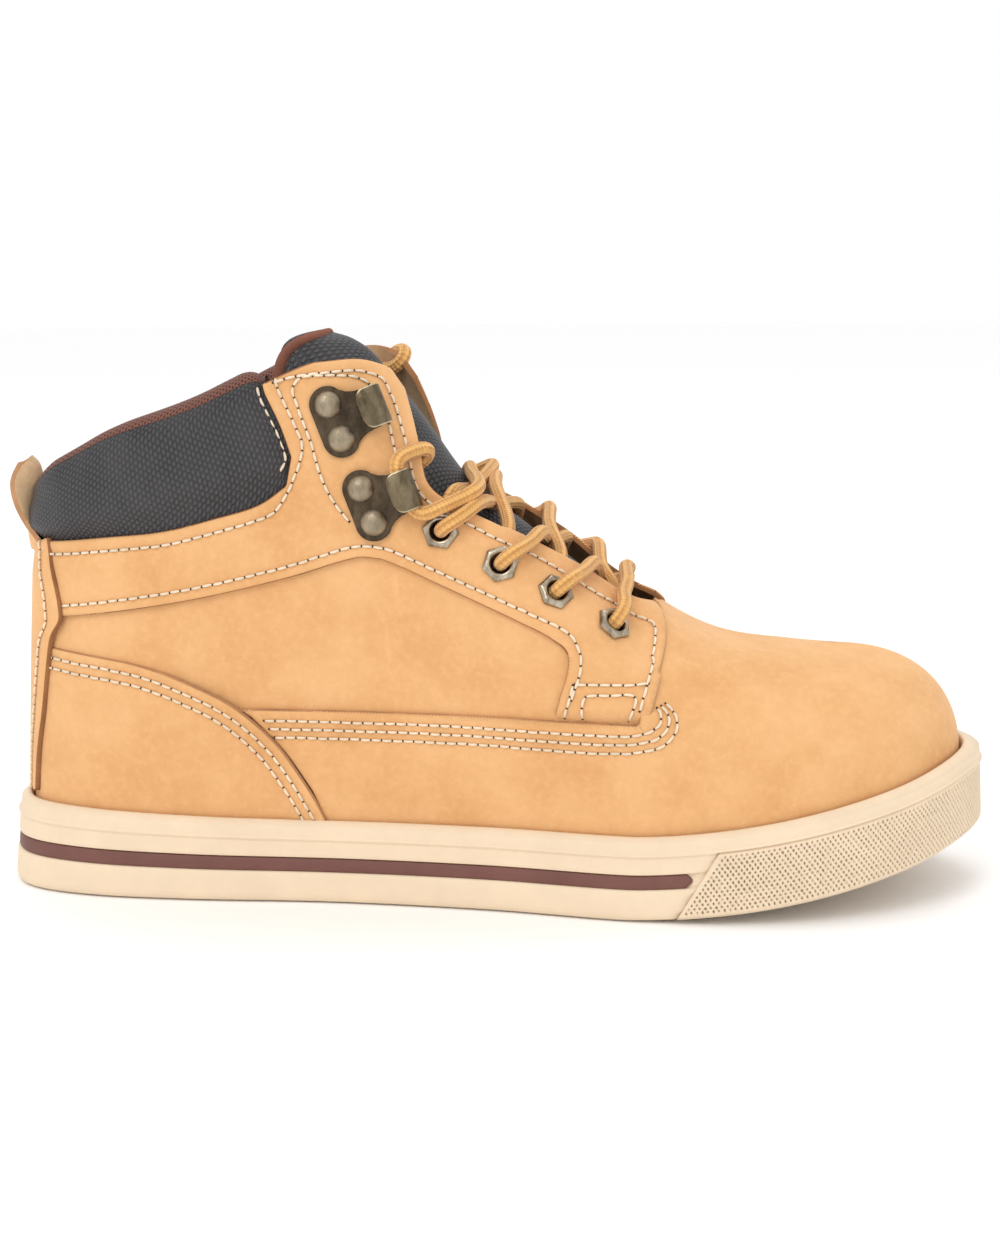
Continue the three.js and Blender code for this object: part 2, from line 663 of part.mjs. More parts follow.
const HOOK_BEND = 3; // inside radius of the lip's curl
const LIP_WIDTH = 8;
const HOOK_CENTRE = HOOK_BEND + 1.2; // its height above the leather
function hookSolid(frame) {
  // The plate lies on the leather; the lip curls up and back over it.
  const plate = new THREE.Shape();
  plate.absarc(0, -5, 4.6, -Math.PI, -Math.PI / 4);
  plate.lineTo(9, -5);
  plate.lineTo(9, 5);
  plate.absarc(0, 5, 4.6, Math.PI / 4, Math.PI);
  const base = new THREE.ExtrudeGeometry(plate, {
    depth: 1.2,
    bevelEnabled: false,
    curveSegments: 3,
  });
  const lip = new THREE.Shape();
  lip.absarc(8, HOOK_CENTRE, HOOK_BEND + 1.1, -Math.PI / 2, Math.PI / 2);
  lip.lineTo(2, HOOK_CENTRE + HOOK_BEND + 1.7);
  lip.lineTo(2, HOOK_CENTRE + HOOK_BEND + 0.6);
  lip.lineTo(8, HOOK_CENTRE + HOOK_BEND);
  lip.absarc(8, HOOK_CENTRE, HOOK_BEND, Math.PI / 2, -Math.PI / 2, true);
  const curl = new THREE.ExtrudeGeometry(lip, {
    depth: LIP_WIDTH,
    bevelEnabled: false,
    curveSegments: 4,
  })
    .rotateX(Math.PI / 2)
    .translate(0, LIP_WIDTH / 2, 0);
  return solidFrom(base.applyMatrix4(frame)).add(solidFrom(curl.applyMatrix4(frame)));
}

function rivetGeometry() {
  const dome = [[0, 1.9], [1.6, 1.6], [3, 0.9], [3.6, 0], [0, 0], [0, 1.9]];
  const profile = dome.map(([r, y]) => new THREE.Vector2(r, y)).reverse();
  return new THREE.LatheGeometry(profile, 8).rotateX(Math.PI / 2);
}

// ---- lace ----
const OVER = GAP + LEATHER + LACE_RADIUS + 0.5; // the lace's middle line, lying on the leather
const UNDER = -LEATHER - LACE_RADIUS - 0.6; // and passing behind it
const EDGE_STEP = 4.6; // along X from an eyelet to where the lace crosses the throat's edge

// Off the leather at a side-view point, and moved along it to the middle of the throat.
function nearLeather(x, z, side, height, inwards = 0) {
  const { station, v } = locate(x, z, side);
  const normal = outward(station, v);
  const inward = new THREE.Vector3(0, -side, 0);
  inward.addScaledVector(normal, -inward.dot(normal)).normalize();
  return offsetPoint(station, v, height).addScaledVector(inward, inwards);
}

// The height, in the side view, of the throat's edge at an x.
function edgeHeight(x, side) {
  let low = 60;
  let high = tableCurve(CREST, 1, x);
  for (let i = 0; i < 20; i += 1) {
    const middle = (low + high) / 2;
    const { station, v } = locate(x, middle, side);
    if (Math.abs(surface(station, v).y) > THROAT_HALF_WIDTH + 1.5) low = middle;
    else high = middle;
  }
  return low;
}

// In from behind the edge of the eyestay, up through an eyelet, and out over the edge.
function upThrough(index, side) {
  const [x, z] = EYELETS[index];
  const edgeX = x + EDGE_STEP;
  const edgeZ = edgeHeight(edgeX, side);
  const nextX = edgeX - 5;
  const nextZ = edgeHeight(nextX, side);
  return [
    nearLeather(edgeX, edgeZ, side, UNDER - 1.2, 2),
    nearLeather(mix(x, edgeX, 0.4), mix(z, edgeZ, 0.4), side, UNDER - 1.2),
    nearLeather(x, z, side, UNDER + 0.6),
    nearLeather(x, z, side, 0),
    nearLeather(x, z, side, 4.4),
    nearLeather(mix(x, nextX, 0.15), mix(z, nextZ, 0.15), side, OVER + 2.9),
    nearLeather(mix(x, nextX, 0.6), mix(z, nextZ, 0.6), side, OVER + 2.2),
    nearLeather(nextX, nextZ, side, OVER + 0.4, 2),
  ];
}

// The middle of the throat above one row of eyelets, in the first or second layer of lace.
function throatMiddle(index, lift) {
  const here = EYELETS[index];
  const next = EYELETS[index + 1] ?? [-20, 116];
  const target = new THREE.Vector2((here[0] + next[0]) / 2, (here[1] + next[1]) / 2);
  let best = 0;
  for (let t = 0; t <= 1; t += 0.005) {
    const far = TONGUE_LINE.getPoint(best).distanceTo(target);
    if (TONGUE_LINE.getPoint(t).distanceTo(target) < far) best = t;
  }
  const [px, , pz] = tonguePoint(best, 0, -LACE_RADIUS - 0.6 - lift);
  return new THREE.Vector3(px, 0, pz);
}

// Under the lip of the lower speed hook, then over the edge and back behind the eyestay.
function roundHook(side) {
  const { rivets, lip } = HOOKS[0];
  const middle = [0, 1].map((k) => (rivets[0][k] + rivets[1][k]) / 2);
  const frame = placeOn(middle[0], middle[1], side, STAND_OFF, lip);
  const upwards = -side;
  const local = [
    [12, -7.8, 4.6],
    [8.5, -5.4, 4.2],
    [8, -2, HOOK_CENTRE],
    [8, 2, HOOK_CENTRE],
    [8.4, 5.8, 4.2],
    [11.2, 9.5, 4.3],
  ];
  return [
    nearLeather(-9, 122.5, side, OVER + 1.6, 4),
    nearLeather(-13.5, 119.6, side, OVER + 1.6),
    ...local.map(([x, y, z]) => new THREE.Vector3(x, y * upwards, z).applyMatrix4(frame)),
    nearLeather(-19, 132.5, side, OVER + 0.4, 1),
    nearLeather(-19, 133, side, 0.6, 6.6),
    nearLeather(-19.5, 133, side, UNDER - 1.6, 3),
    nearLeather(-24.5, 136, side, UNDER - 1.6),
    nearLeather(-27.5, 141, side, UNDER - 0.8),
  ];
}

// One half of the lace, from the bar under the lowest eyelets to its tucked end.
function laceHalf(startSide) {
  const points = [];
  let side = startSide;
  EYELETS.forEach((_, index) => {
    points.push(...upThrough(index, side));
    const above = (startSide < 0) === (index % 2 === 0);
    points.push(throatMiddle(index, above ? 2 * LACE_RADIUS + 0.4 : 0));
    side = -side;
  });
  return points.concat(roundHook(side));
}

function laceRoute() {
  const barMiddle = [38, 91.3];
  const bar = new THREE.Vector3(barMiddle[0], 0, barMiddle[1]);
  return new THREE.CatmullRomCurve3([...laceHalf(-1).reverse(), bar, ...laceHalf(1)]);
}
const LACE_STEPS = 165;
const AGLET_LENGTH = 10;
function laceGeometry() {
  const section = new THREE.Shape().absarc(0, 0, LACE_RADIUS, 0, 2 * Math.PI);
  return new THREE.ExtrudeGeometry(section, {
    steps: LACE_STEPS,
    extrudePath: laceRoute(),
    curveSegments: 4,
  });
}
function agletGeometry(atEnd) {
  const route = laceRoute();
  const end = route.getPoint(atEnd ? 1 : 0);
  const away = route.getTangent(atEnd ? 1 : 0).multiplyScalar(atEnd ? 1 : -1);
  const centre = end.addScaledVector(away, AGLET_LENGTH / 2 + GAP);
  const turn = new THREE.Quaternion().setFromUnitVectors(new THREE.Vector3(0, 1, 0), away);
  return new THREE.CylinderGeometry(1.5, 1.5, AGLET_LENGTH, 10)
    .applyQuaternion(turn)
    .translate(centre.x, centre.y, centre.z);
}

// ---- assembly ----
const boot = new THREE.Group();
function addPiece(name, geometry, look) {
  const mesh = new THREE.Mesh(geometry, new THREE.MeshStandardMaterial(finish[look]));
  mesh.name = name;
  boot.add(mesh);
}
const addSolid = (name, solid, look) => addPiece(name, geometryFrom(solid), look);

addSolid("outsole", outsoleSolid(), "cream");
addSolid("sole_stripe", stripeSolid(), "maroon");
addSolid("toe_bumper", bumperSolid(), "cream");
const innerInset = TOP_INSET + LIP + GAP;
addSolid("midsole_insert", slab(innerInset, CUP_FLOOR + 2 * GAP, 15), "foam");
addSolid("steel_midsole", slab(innerInset, 15.5, 16.5), "steel");
addSolid("insole_board", slab(innerInset, 17, 18.8), "board");
addSolid("footbed", slab(UPPER_INSET + 7, 19.5, 24), "foam");
addSolid("vamp", vampSolid(), "nubuck");
addSolid("vamp_lining", vampLiningSolid(), "brownMesh");
addSolid("toe_cap", toeCapSolid(), "steel");
addSolid("toe_cap_edge", capStripSolid(), "rubber");
addSolid("heel_stiffener", heelStiffenerSolid(), "board");
addSolid("shaft_lining", shaftLiningSolid(), "brownMesh");
addSolid("collar_pad", collarPadSolid(), "charcoal");
addSolid("collar_lining", collarLiningSolid(), "brownMesh");
addSolid("back_strip", backStripSolid(), "nubuck");
for (const { name, sign } of SIDES) {
  addSolid(`quarter_${name}`, quarterSolid(sign), "nubuck");
  addSolid(`eyestay_${name}`, eyestaySolid(sign), "nubuck");
  addSolid(`counter_${name}`, counterSolid(sign), "nubuck");
}
addSolid("tongue_cover", tongueLayer(0, 1.2), "charcoal");
addSolid("tongue_foam", tongueLayer(1.2 + GAP, 6), "foam");
addSolid("tongue_lining", tongueLayer(6 + GAP, 7.3), "brownMesh");
addSolid("pull_tab", pullTabSolid(), "nubuck");

for (const { name, sign } of SIDES) {
  EYELETS.forEach((at, i) => {
    addPiece(`eyelet_${name}_${i + 1}`, eyeletGeometry().applyMatrix4(eyeletFrame(at, sign)), "nickel");
  });
  HOOKS.forEach(({ rivets, lip }, i) => {
    const middle = [0, 1].map((k) => (rivets[0][k] + rivets[1][k]) / 2);
    const frame = placeOn(middle[0], middle[1], sign, STAND_OFF, lip);
    addSolid(`speed_hook_${name}_${i + 1}`, hookSolid(frame), "brass");
    [-5, 5].forEach((y, k) => {
      const head = rivetGeometry().translate(0, y, 1.2 + GAP).applyMatrix4(frame);
      addPiece(`rivet_${name}_${2 * i + k + 1}`, head, "brass");
    });
  });
}
addPiece("lace", laceGeometry(), "lace");
addPiece("aglet_1", agletGeometry(false), "lace");
addPiece("aglet_2", agletGeometry(true), "lace");

export default boot;
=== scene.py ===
"""The looks of a steel toe work boot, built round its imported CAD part.

Lengths here are in millimetres until a mesh is made. +X points to the toe, +Z up and -Y to
the outer (lateral) side of the foot.
"""

import math
from contextlib import contextmanager

import bmesh
import bpy
import numpy as np
from mathutils import Matrix, Vector, geometry, kdtree


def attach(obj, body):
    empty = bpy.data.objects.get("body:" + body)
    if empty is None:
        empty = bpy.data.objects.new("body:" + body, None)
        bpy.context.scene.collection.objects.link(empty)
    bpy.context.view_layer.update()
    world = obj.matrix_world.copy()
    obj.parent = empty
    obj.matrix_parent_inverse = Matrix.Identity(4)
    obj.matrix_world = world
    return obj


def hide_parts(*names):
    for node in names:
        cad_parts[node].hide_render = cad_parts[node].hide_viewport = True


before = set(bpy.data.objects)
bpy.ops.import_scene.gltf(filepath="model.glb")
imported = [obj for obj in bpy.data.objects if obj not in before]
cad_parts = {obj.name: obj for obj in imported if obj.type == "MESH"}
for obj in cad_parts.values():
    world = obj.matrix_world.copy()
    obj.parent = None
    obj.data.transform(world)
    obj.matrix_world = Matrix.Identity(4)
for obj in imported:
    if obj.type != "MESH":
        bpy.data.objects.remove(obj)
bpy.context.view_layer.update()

MM = 0.001
LATERAL = -1
MEDIAL = 1
SIDES = {"lateral": LATERAL, "medial": MEDIAL}

# ---- the boot's driving sizes ----
HALF_LENGTH = 152.5
TOE_SPRING = 20.0
SPRING_START = 40.0
WALL_HEIGHT = 24.3
HEEL_RISE = 3.5
TOE_RISE = 19.0
UPPER_INSET = 9.3
TUCK = 4.0
TOP_INSET = 4.6
LEATHER = 2.0
LACE_RADIUS = 2.15


# ---- small maths ----
def clamp01(t):
    return np.clip(t, 0.0, 1.0)


def mix(a, b, t):
    return a + (b - a) * t


def smoothstep(low, high, x):
    t = clamp01((np.asarray(x, float) - low) / (high - low))
    return t * t * (3 - 2 * t)


def hermite(a, b, slope_a, slope_b, t):
    t2 = t * t
    t3 = t2 * t
    start = a * (2 * t3 - 3 * t2 + 1) + slope_a * (t3 - 2 * t2 + t)
    return start + b * (3 * t2 - 2 * t3) + slope_b * (t3 - t2)


def closed_curve(values, t):
    n = len(values)
    k = np.floor(t).astype(int)

    def at(i):
        return values[(k + i) % n]

    return hermite(at(0), at(1), (at(1) - at(-1)) / 2, (at(2) - at(0)) / 2, t - k)


def table_curve(rows, column, key):
    """A smooth curve through rows of [key, value, ...]."""
    keys = rows[:, 0]
    values = rows[:, column]
    k = np.clip(np.searchsorted(keys, key, side="left") - 1, 0, len(keys) - 2)
    before = np.maximum(np.arange(len(keys)) - 1, 0)
    after = np.minimum(np.arange(len(keys)) + 1, len(keys) - 1)
    slopes = (values[after] - values[before]) / (keys[after] - keys[before])
    step = keys[k + 1] - keys[k]
    t = clamp01((key - keys[k]) / step)
    return hermite(values[k], values[k + 1], slopes[k] * step, slopes[k + 1] * step, t)


# ---- the sole's outline and the upper's reference surface ----
# Stations run round the outline: 0 at the heel, 10 at the toe, 20 at the heel again.
OUTLINE_Y = np.array([
    0, -20.5, -30.5, -34, -34.5, -39.5, -48.5, -49, -37, -15, 8,
    31, 44.5, 49.5, 47.5, 39, 34, 34.5, 31, 20.5,
], float)
STATIONS = 20
TOE = 10
RIM = np.array([
    [0, -138.5, 0, 118],
    [1, -132, 14, 121],
    [2, -113, 23.5, 131],
    [3, -88, 28, 144],
    [4, -62, 28.5, 156.5],
    [4.5, -48, 26, 162],
    [5, -36, 21, 163],
    [5.4, -27, 14, 156],
    [5.8, -19, 6.5, 143],
    [6.2, -9, 0, 129],
    [6.6, 12, 0, 115],
    [7, 38, 0, 95],
    [7.5, 57, 0, 81.5],
    [8, 72, 0, 75],
    [9, 93, 0, 72.2],
    [10, 106, 0, 71.2],
], float)
RIDGE_STATION = 6.2
CREST = RIM[RIM[:, 0] >= RIDGE_STATION][:, [1, 3]]
SIDE_BULGE = 2.5
ROUNDNESS = np.array([[0, 0.87], [4, 0.87], [6.6, 0.76], [8, 0.82], [10, 0.87]])
ARCH = np.array([[0, 0, 0], [3, 0, 0], [5, 0.35, 0], [7, 1, 0.7], [8, 1, 1], [10, 1, 1]])


def outline(station, inset):
    """The sole's outline from above, moved inwards by an inset."""
    station = np.asarray(station, float)

    def at(s):
        return np.stack([-HALF_LENGTH * np.cos(np.pi * s / TOE), closed_curve(OUTLINE_Y, s)], -1)

    step = 0.02
    along = unit(at(station + step) - at(station - step))
    point = at(station)
    inset = np.asarray(inset, float)
    return np.stack([point[..., 0] - along[..., 1] * inset, point[..., 1] + along[..., 0] * inset], -1)


def sole_bottom(x):
    return TOE_SPRING * clamp01((x - SPRING_START) / (HALF_LENGTH - SPRING_START)) ** 1.6


def wall_top(x):
    heel = HEEL_RISE * clamp01((-x - 50) / 100) ** 1.5
    return WALL_HEIGHT + heel + TOE_RISE * clamp01((x - 45) / 101.5) ** 1.5


def ridge_y(x):
    return 8 * clamp01(x / 106) ** 1.5


def fold(station):
    s = np.mod(station, STATIONS)
    return np.where(s > TOE, STATIONS - s, s)


def side_of(station):
    return np.where(np.mod(station, STATIONS) > TOE, 1.0, -1.0)


MEDIAL_RISE = 2.2


def medial_rise(points):
    """The medial half of the throat stands a little higher than the lateral one."""
    x, y, z = points[..., 0], points[..., 1], points[..., 2]
    return MEDIAL_RISE * smoothstep(-8, 14, y) * smoothstep(84, 112, z) * smoothstep(-62, -38, x)


def raised(points):
    points = np.array(points, float)
    points[..., 2] += medial_rise(points)
    return points


def surface(station, v):
    return raised(level_surface(station, v))


def level_surface(station, v):
    """A point of the reference surface: v is 0 at the sole and 1 at the rim or ridge."""
    station, v = np.broadcast_arrays(np.asarray(station, float), np.asarray(v, float))
    folded = fold(station)
    base = outline(station, UPPER_INSET)
    base_z = wall_top(base[..., 0]) - TUCK
    half_width = np.where(folded >= RIDGE_STATION, 0.0, table_curve(RIM, 2, folded))
    rim_x = table_curve(RIM, 1, folded)
    side = side_of(station)
    rim_y = ridge_y(rim_x) + side * half_width
    rim_z = table_curve(RIM, 3, folded)
    angle = v * np.pi / 2
    roundness = table_curve(ROUNDNESS, 1, folded)
    rise = np.sin(angle) ** roundness
    lean = 1 - np.maximum(0, np.cos(angle)) ** roundness
    up = mix(v, rise, table_curve(ARCH, 1, folded))
    back = mix(up, lean, table_curve(ARCH, 2, folded))
    bulge = SIDE_BULGE * np.maximum(0, np.sin(np.pi * up)) ** 1.5 * np.sin(np.pi * folded / TOE)
    x = mix(base[..., 0], rim_x, back)
    crest = mix(rim_z, table_curve(CREST, 1, np.maximum(x, rim_x)), clamp01((folded - 6) / 0.7))
    return np.stack([x, mix(base[..., 1], rim_y, lean) + side * bulge, mix(base_z, crest, up)], -1)


def unit(vectors):
    return vectors / np.maximum(np.linalg.norm(vectors, axis=-1, keepdims=True), 1e-9)


def normal_of(station, v):
    ds = 0.02
    dv = 0.004
    along = surface(station + ds, v) - surface(station - ds, v)
    up = surface(station, np.minimum(1, v + dv)) - surface(station, np.maximum(0, v - dv))
    return unit(np.cross(along, up))


def outward(station, v):
    station, v = np.broadcast_arrays(np.asarray(station, float), np.asarray(v, float))
    normal = normal_of(station, v)
    shared = (v >= 0.9999) & (fold(station) >= RIDGE_STATION)
    twin = unit(normal + normal_of(STATIONS - station, v))
    return np.where(shared[..., None], twin, normal)


def off(station, v, distance):
    return surface(station, v) + outward(station, v) * np.asarray(distance, float)[..., None]


def on_surface(pairs):
    """Points of the surface at rows of station and v."""
    return surface(pairs[:, 0], pairs[:, 1])


# ---- from the side view to the surface ----
GRID_S = np.linspace(0, 9.6, 241)
GRID_V = np.linspace(0, 1, 121)


def side_table(side):
    stations = GRID_S if side < 0 else STATIONS - GRID_S
    points = level_surface(stations[:, None], GRID_V[None, :])
    return points[..., 0], points[..., 2]


SIDE_TABLES = {LATERAL: side_table(LATERAL), MEDIAL: side_table(MEDIAL)}


def locate(points, side):
    """Stations and v of side-view points [x, z] on one side of the boot."""
    points = np.asarray(points, float).reshape(-1, 2)
    table_x, table_z = SIDE_TABLES[side]
    columns = range(len(GRID_S))
    v_at = np.stack([np.interp(points[:, 1], table_z[i], GRID_V) for i in columns], 1)
    x_at = np.stack([np.interp(v_at[:, i], GRID_V, table_x[i]) for i in columns], 1)
    x_at = np.maximum.accumulate(x_at, axis=1)
    stations = np.array([np.interp(points[q, 0], x_at[q], GRID_S) for q in range(len(points))])
    vs = np.array([np.interp(stations[q], GRID_S, v_at[q]) for q in range(len(points))])
    return (stations if side < 0 else STATIONS - stations), vs


# ---- curves ----
def lengths(points):
    return np.concatenate([[0], np.cumsum(np.linalg.norm(np.diff(points, axis=0), axis=1))])


def columns_at(rows, keys, at):
    """The rows interpolated at other keys."""
    return np.stack([np.interp(at, keys, column) for column in rows.T], 1)


def resample(points, step):
    points = np.asarray(points, float)
    run = lengths(points)
    count = max(2, int(round(run[-1] / step)) + 1)
    return columns_at(points, run, np.linspace(0, run[-1], count))


def spline(points, step=1.0):
    """A smooth centripetal curve through points, evenly resampled."""
    points = np.asarray(points, float)
    if len(points) < 3:
        return resample(points, step)
    padded = np.vstack([2 * points[0] - points[1], points, 2 * points[-1] - points[-2]])
    out = []
    for i in range(1, len(padded) - 2):
        p0, p1, p2, p3 = padded[i - 1 : i + 3]
        t1 = max(np.linalg.norm(p1 - p0) ** 0.5, 1e-3)
        t2 = t1 + max(np.linalg.norm(p2 - p1) ** 0.5, 1e-3)
        t3 = t2 + max(np.linalg.norm(p3 - p2) ** 0.5, 1e-3)
        t = np.linspace(t1, t2, 24, endpoint=False)[:, None]
        a1 = (t1 - t) / t1 * p0 + t / t1 * p1
        a2 = (t2 - t) / (t2 - t1) * p1 + (t - t1) / (t2 - t1) * p2
        a3 = (t3 - t) / (t3 - t2) * p2 + (t - t2) / (t3 - t2) * p3
        b1 = (t2 - t) / t2 * a1 + t / t2 * a2
        b2 = (t3 - t) / (t3 - t1) * a2 + (t - t1) / (t3 - t1) * a3
        out.append((t2 - t) / (t2 - t1) * b1 + (t - t1) / (t2 - t1) * b2)
    out.append(points[-1:])
    return resample(np.vstack(out), step)


def shifted(points, dx, dz):
    return np.asarray(points, float) + np.array([dx, dz], float)


def beside(points, distance):
    """The curve parallel to a side-view curve, on its left."""
    points = np.asarray(points, float)
    along = unit(np.gradient(points, axis=0))
    return points + distance * np.stack([-along[:, 1], along[:, 0]], 1)


def softened(path, reach, step):
    """The path with its kinks rounded over a reach, by a weighted mean along it."""
    half = int(3 * reach / step)
    weights = np.exp(-0.5 * (np.arange(-half, half + 1) * step / reach) ** 2)
    weights /= weights.sum()
    padded = np.vstack([np.repeat(path[:1], half, 0), path, np.repeat(path[-1:], half, 0)])
    return np.stack([np.convolve(padded[:, k], weights, mode="valid") for k in range(3)], 1)


def noise_field(points, scale, seed):
    """Smooth wandering values about 0 at points, from a few waves."""
    rng = np.random.default_rng(seed)
    total = np.zeros(len(points))
    for _ in range(7):
        direction = rng.normal(size=3)
        direction *= rng.uniform(0.5, 1.4) / (scale * np.linalg.norm(direction))
        total += np.sin(points @ direction * 2 * np.pi + rng.uniform(0, 6.28))
    return total / 7


def tree_of(points):
    tree = kdtree.KDTree(len(points))
    for i, p in enumerate(points):
        tree.insert(p, i)
    tree.balance()
    return tree


def distances(points, tree):
    return np.array([tree.find(p)[2] for p in points])


# ---- meshes ----
def new_object(name, verts, faces, materials, face_material=None, uv=None, smooth=True):
    mesh = bpy.data.meshes.new(name)
    mesh.from_pydata((np.asarray(verts) * MM).tolist(), [], [list(map(int, f)) for f in faces])
    for material in materials:
        mesh.materials.append(material)
    if face_material is not None:
        mesh.polygons.foreach_set("material_index", np.asarray(face_material, dtype=np.int32))
    mesh.polygons.foreach_set("use_smooth", np.full(len(mesh.polygons), smooth))
    if uv is not None:
        layer = mesh.uv_layers.new(name="UVMap")
        corner = np.empty(len(mesh.loops), dtype=np.int32)
        mesh.loops.foreach_get("vertex_index", corner)
        layer.data.foreach_set("uv", np.asarray(uv, float)[corner].ravel())
    mesh.update()
    obj = bpy.data.objects.new(name, mesh)
    bpy.context.scene.collection.objects.link(obj)
    return obj


def show(obj, body, slot, *nodes):
    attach(obj, body)
    if nodes:
        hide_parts(*nodes)
    return obj


@contextmanager
def edited(obj):
    """The object's mesh, open for editing."""
    bm = bmesh.new()
    bm.from_mesh(obj.data)
    yield bm
    bm.to_mesh(obj.data)
    bm.free()


def turn_outward(obj):
    with edited(obj) as bm:
        bmesh.ops.recalc_face_normals(bm, faces=bm.faces)


def sharp_edges(bm, angle):
    return [e for e in bm.edges if len(e.link_faces) == 2 and e.calc_face_angle(0) > angle]


def part_edges(obj, angle):
    """Parts the faces along edges sharper than an angle, so that they shade apart."""
    with edited(obj) as bm:
        bmesh.ops.split_edges(bm, edges=sharp_edges(bm, angle))


def grid_faces(rows, columns, close_columns=False, close_rows=False, flip=False):
    """The four-cornered faces of a grid of points, joined up across its ends where asked."""
    r = np.arange(rows if close_rows else rows - 1)
    c = np.arange(columns if close_columns else columns - 1)
    rr, cc = np.meshgrid(r, c, indexing="ij")
    r2 = (rr + 1) % rows
    c2 = (cc + 1) % columns
    faces = np.stack([rr * columns + cc, rr * columns + c2, r2 * columns + c2, r2 * columns + cc], -1)
    faces = faces.reshape(-1, 4)
    return faces[:, ::-1] if flip else faces


def ring_of(columns, row=0, start=0):
    """The numbers of one row's points, which make the face that closes a tube's end."""
    return [start + row * columns + k for k in range(columns)]


def tube_faces(rows, columns, flip=False):
    """The wall and both ends of a tube made of rows of points."""
    faces = grid_faces(rows, columns, close_columns=True).tolist()
    faces += [ring_of(columns), ring_of(columns, rows - 1)[::-1]]
    return [face[::-1] for face in faces] if flip else faces


def sheet_faces(rows, columns):
    """The two skins of a sheet, one grid of points after the other, and the walls between them."""
    total = rows * columns
    skins = np.vstack([grid_faces(rows, columns), grid_faces(rows, columns, flip=True) + total])
    border = ring_of(columns)
    border += [r * columns + columns - 1 for r in range(1, rows)]
    border += ring_of(columns, rows - 1)[-2::-1]
    border += [r * columns for r in range(rows - 2, 0, -1)]
    walls = [[a, b, b + total, a + total] for a, b in zip(border, border[1:] + border[:1])]
    return skins.tolist(), walls


def turns(count):
    """Angles evenly round a circle."""
    return np.linspace(0, 2 * np.pi, count, endpoint=False)


def grid_uv(along, across):
    """UV in mm for a grid of points, from the lengths along its two directions."""
    return np.stack(np.meshgrid(along, across, indexing="ij"), -1).reshape(-1, 2)


def tube(name, path, radius, sides, materials, flat=1.0):
    """A round bar along a path."""
    path = np.asarray(path, float)
    count = len(path)
    tangent = unit(np.gradient(path, axis=0))
    normal = np.cross(tangent[0], [0.0, 0.0, 1.0])
    if np.linalg.norm(normal) < 0.1:
        normal = np.cross(tangent[0], [0, 1, 0])
    turn = np.linspace(0, 2 * np.pi, sides + 1)
    verts = []
    for p, t in zip(path, tangent):
        normal = normal - t * (normal @ t)
        normal = normal / np.linalg.norm(normal)
        side = np.cross(t, normal)
        verts.append(p + radius * (np.cos(turn)[:, None] * normal * flat + np.sin(turn)[:, None] * side))
    uv = grid_uv(lengths(path), turn / (2 * np.pi))[:, ::-1]
    faces = grid_faces(count, sides + 1, flip=True).tolist()
    faces += [ring_of(sides), ring_of(sides + 1, count - 1)[-2::-1]]
    return new_object(name, np.vstack(verts), faces, materials, uv=uv)


# ---- materials ----
def node(tree, kind, **inputs):
    made = tree.nodes.new(kind)
    for key, value in inputs.items():
        made.inputs[key].default_value = value
    return made


def shaded(colour, factor):
    """A darker or lighter tone of a colour."""
    return tuple(min(1.0, c * factor) for c in colour)


def paint(tree, shader, colour):
    tree.links.new(colour, shader.inputs["Base Color"])


def new_material(name, colour, roughness, metallic=0.0):
    material = bpy.data.materials.new(name)
    material.use_nodes = True
    tree = material.node_tree
    shader = tree.nodes["Principled BSDF"]
    shader.inputs["Base Color"].default_value = (*colour, 1)
    shader.inputs["Roughness"].default_value = roughness
    shader.inputs["Metallic"].default_value = metallic
    return material, tree, shader


def object_noise(tree, scale, detail=3.0, rough=0.55, stretch=(1, 1, 1)):
    """Noise whose scale is in waves per metre of the object."""
    place = tree.nodes.new("ShaderNodeTexCoord")
    mapping = node(tree, "ShaderNodeMapping", Scale=stretch)
    noise = node(tree, "ShaderNodeTexNoise", Scale=scale, Detail=detail, Roughness=rough)
    tree.links.new(place.outputs["Object"], mapping.inputs["Vector"])
    tree.links.new(mapping.outputs["Vector"], noise.inputs["Vector"])
    return noise.outputs["Fac"]


def ramp(tree, value, stops):
    made = tree.nodes.new("ShaderNodeValToRGB")
    elements = made.color_ramp.elements
    while len(elements) < len(stops):
        elements.new(0.5)
    for element, (at, colour) in zip(elements, stops):
        element.position = at
        element.color = (*colour, 1) if len(colour) == 3 else (colour[0],) * 3 + (1,)
    tree.links.new(value, made.inputs["Fac"])
    return made.outputs["Color"]


def blend_colours(tree, factor, a, b):
    made = tree.nodes.new("ShaderNodeMix")
    made.data_type = "RGBA"
    for socket, value in (("Factor", factor), ("A", a), ("B", b)):
        target = [s for s in made.inputs if s.name == socket and s.enabled][0]
        if hasattr(value, "links"):
            tree.links.new(value, target)
        else:
            target.default_value = (*value, 1)
    return [s for s in made.outputs if s.enabled][0]


def maths(tree, operation, *values):
    made = tree.nodes.new("ShaderNodeMath")
    made.operation = operation
    for socket, value in zip(made.inputs, values):
        if hasattr(value, "links"):
            tree.links.new(value, socket)
        else:
            socket.default_value = value
    return made.outputs[0]


def bump(tree, shader, height, distance, strength, after=None):
    made = node(tree, "ShaderNodeBump", Distance=distance, Strength=strength)
    tree.links.new(height, made.inputs["Height"])
    if after is not None:
        tree.links.new(after, made.inputs["Normal"])
    tree.links.new(made.outputs["Normal"], shader.inputs["Normal"])
    return made.outputs["Normal"]


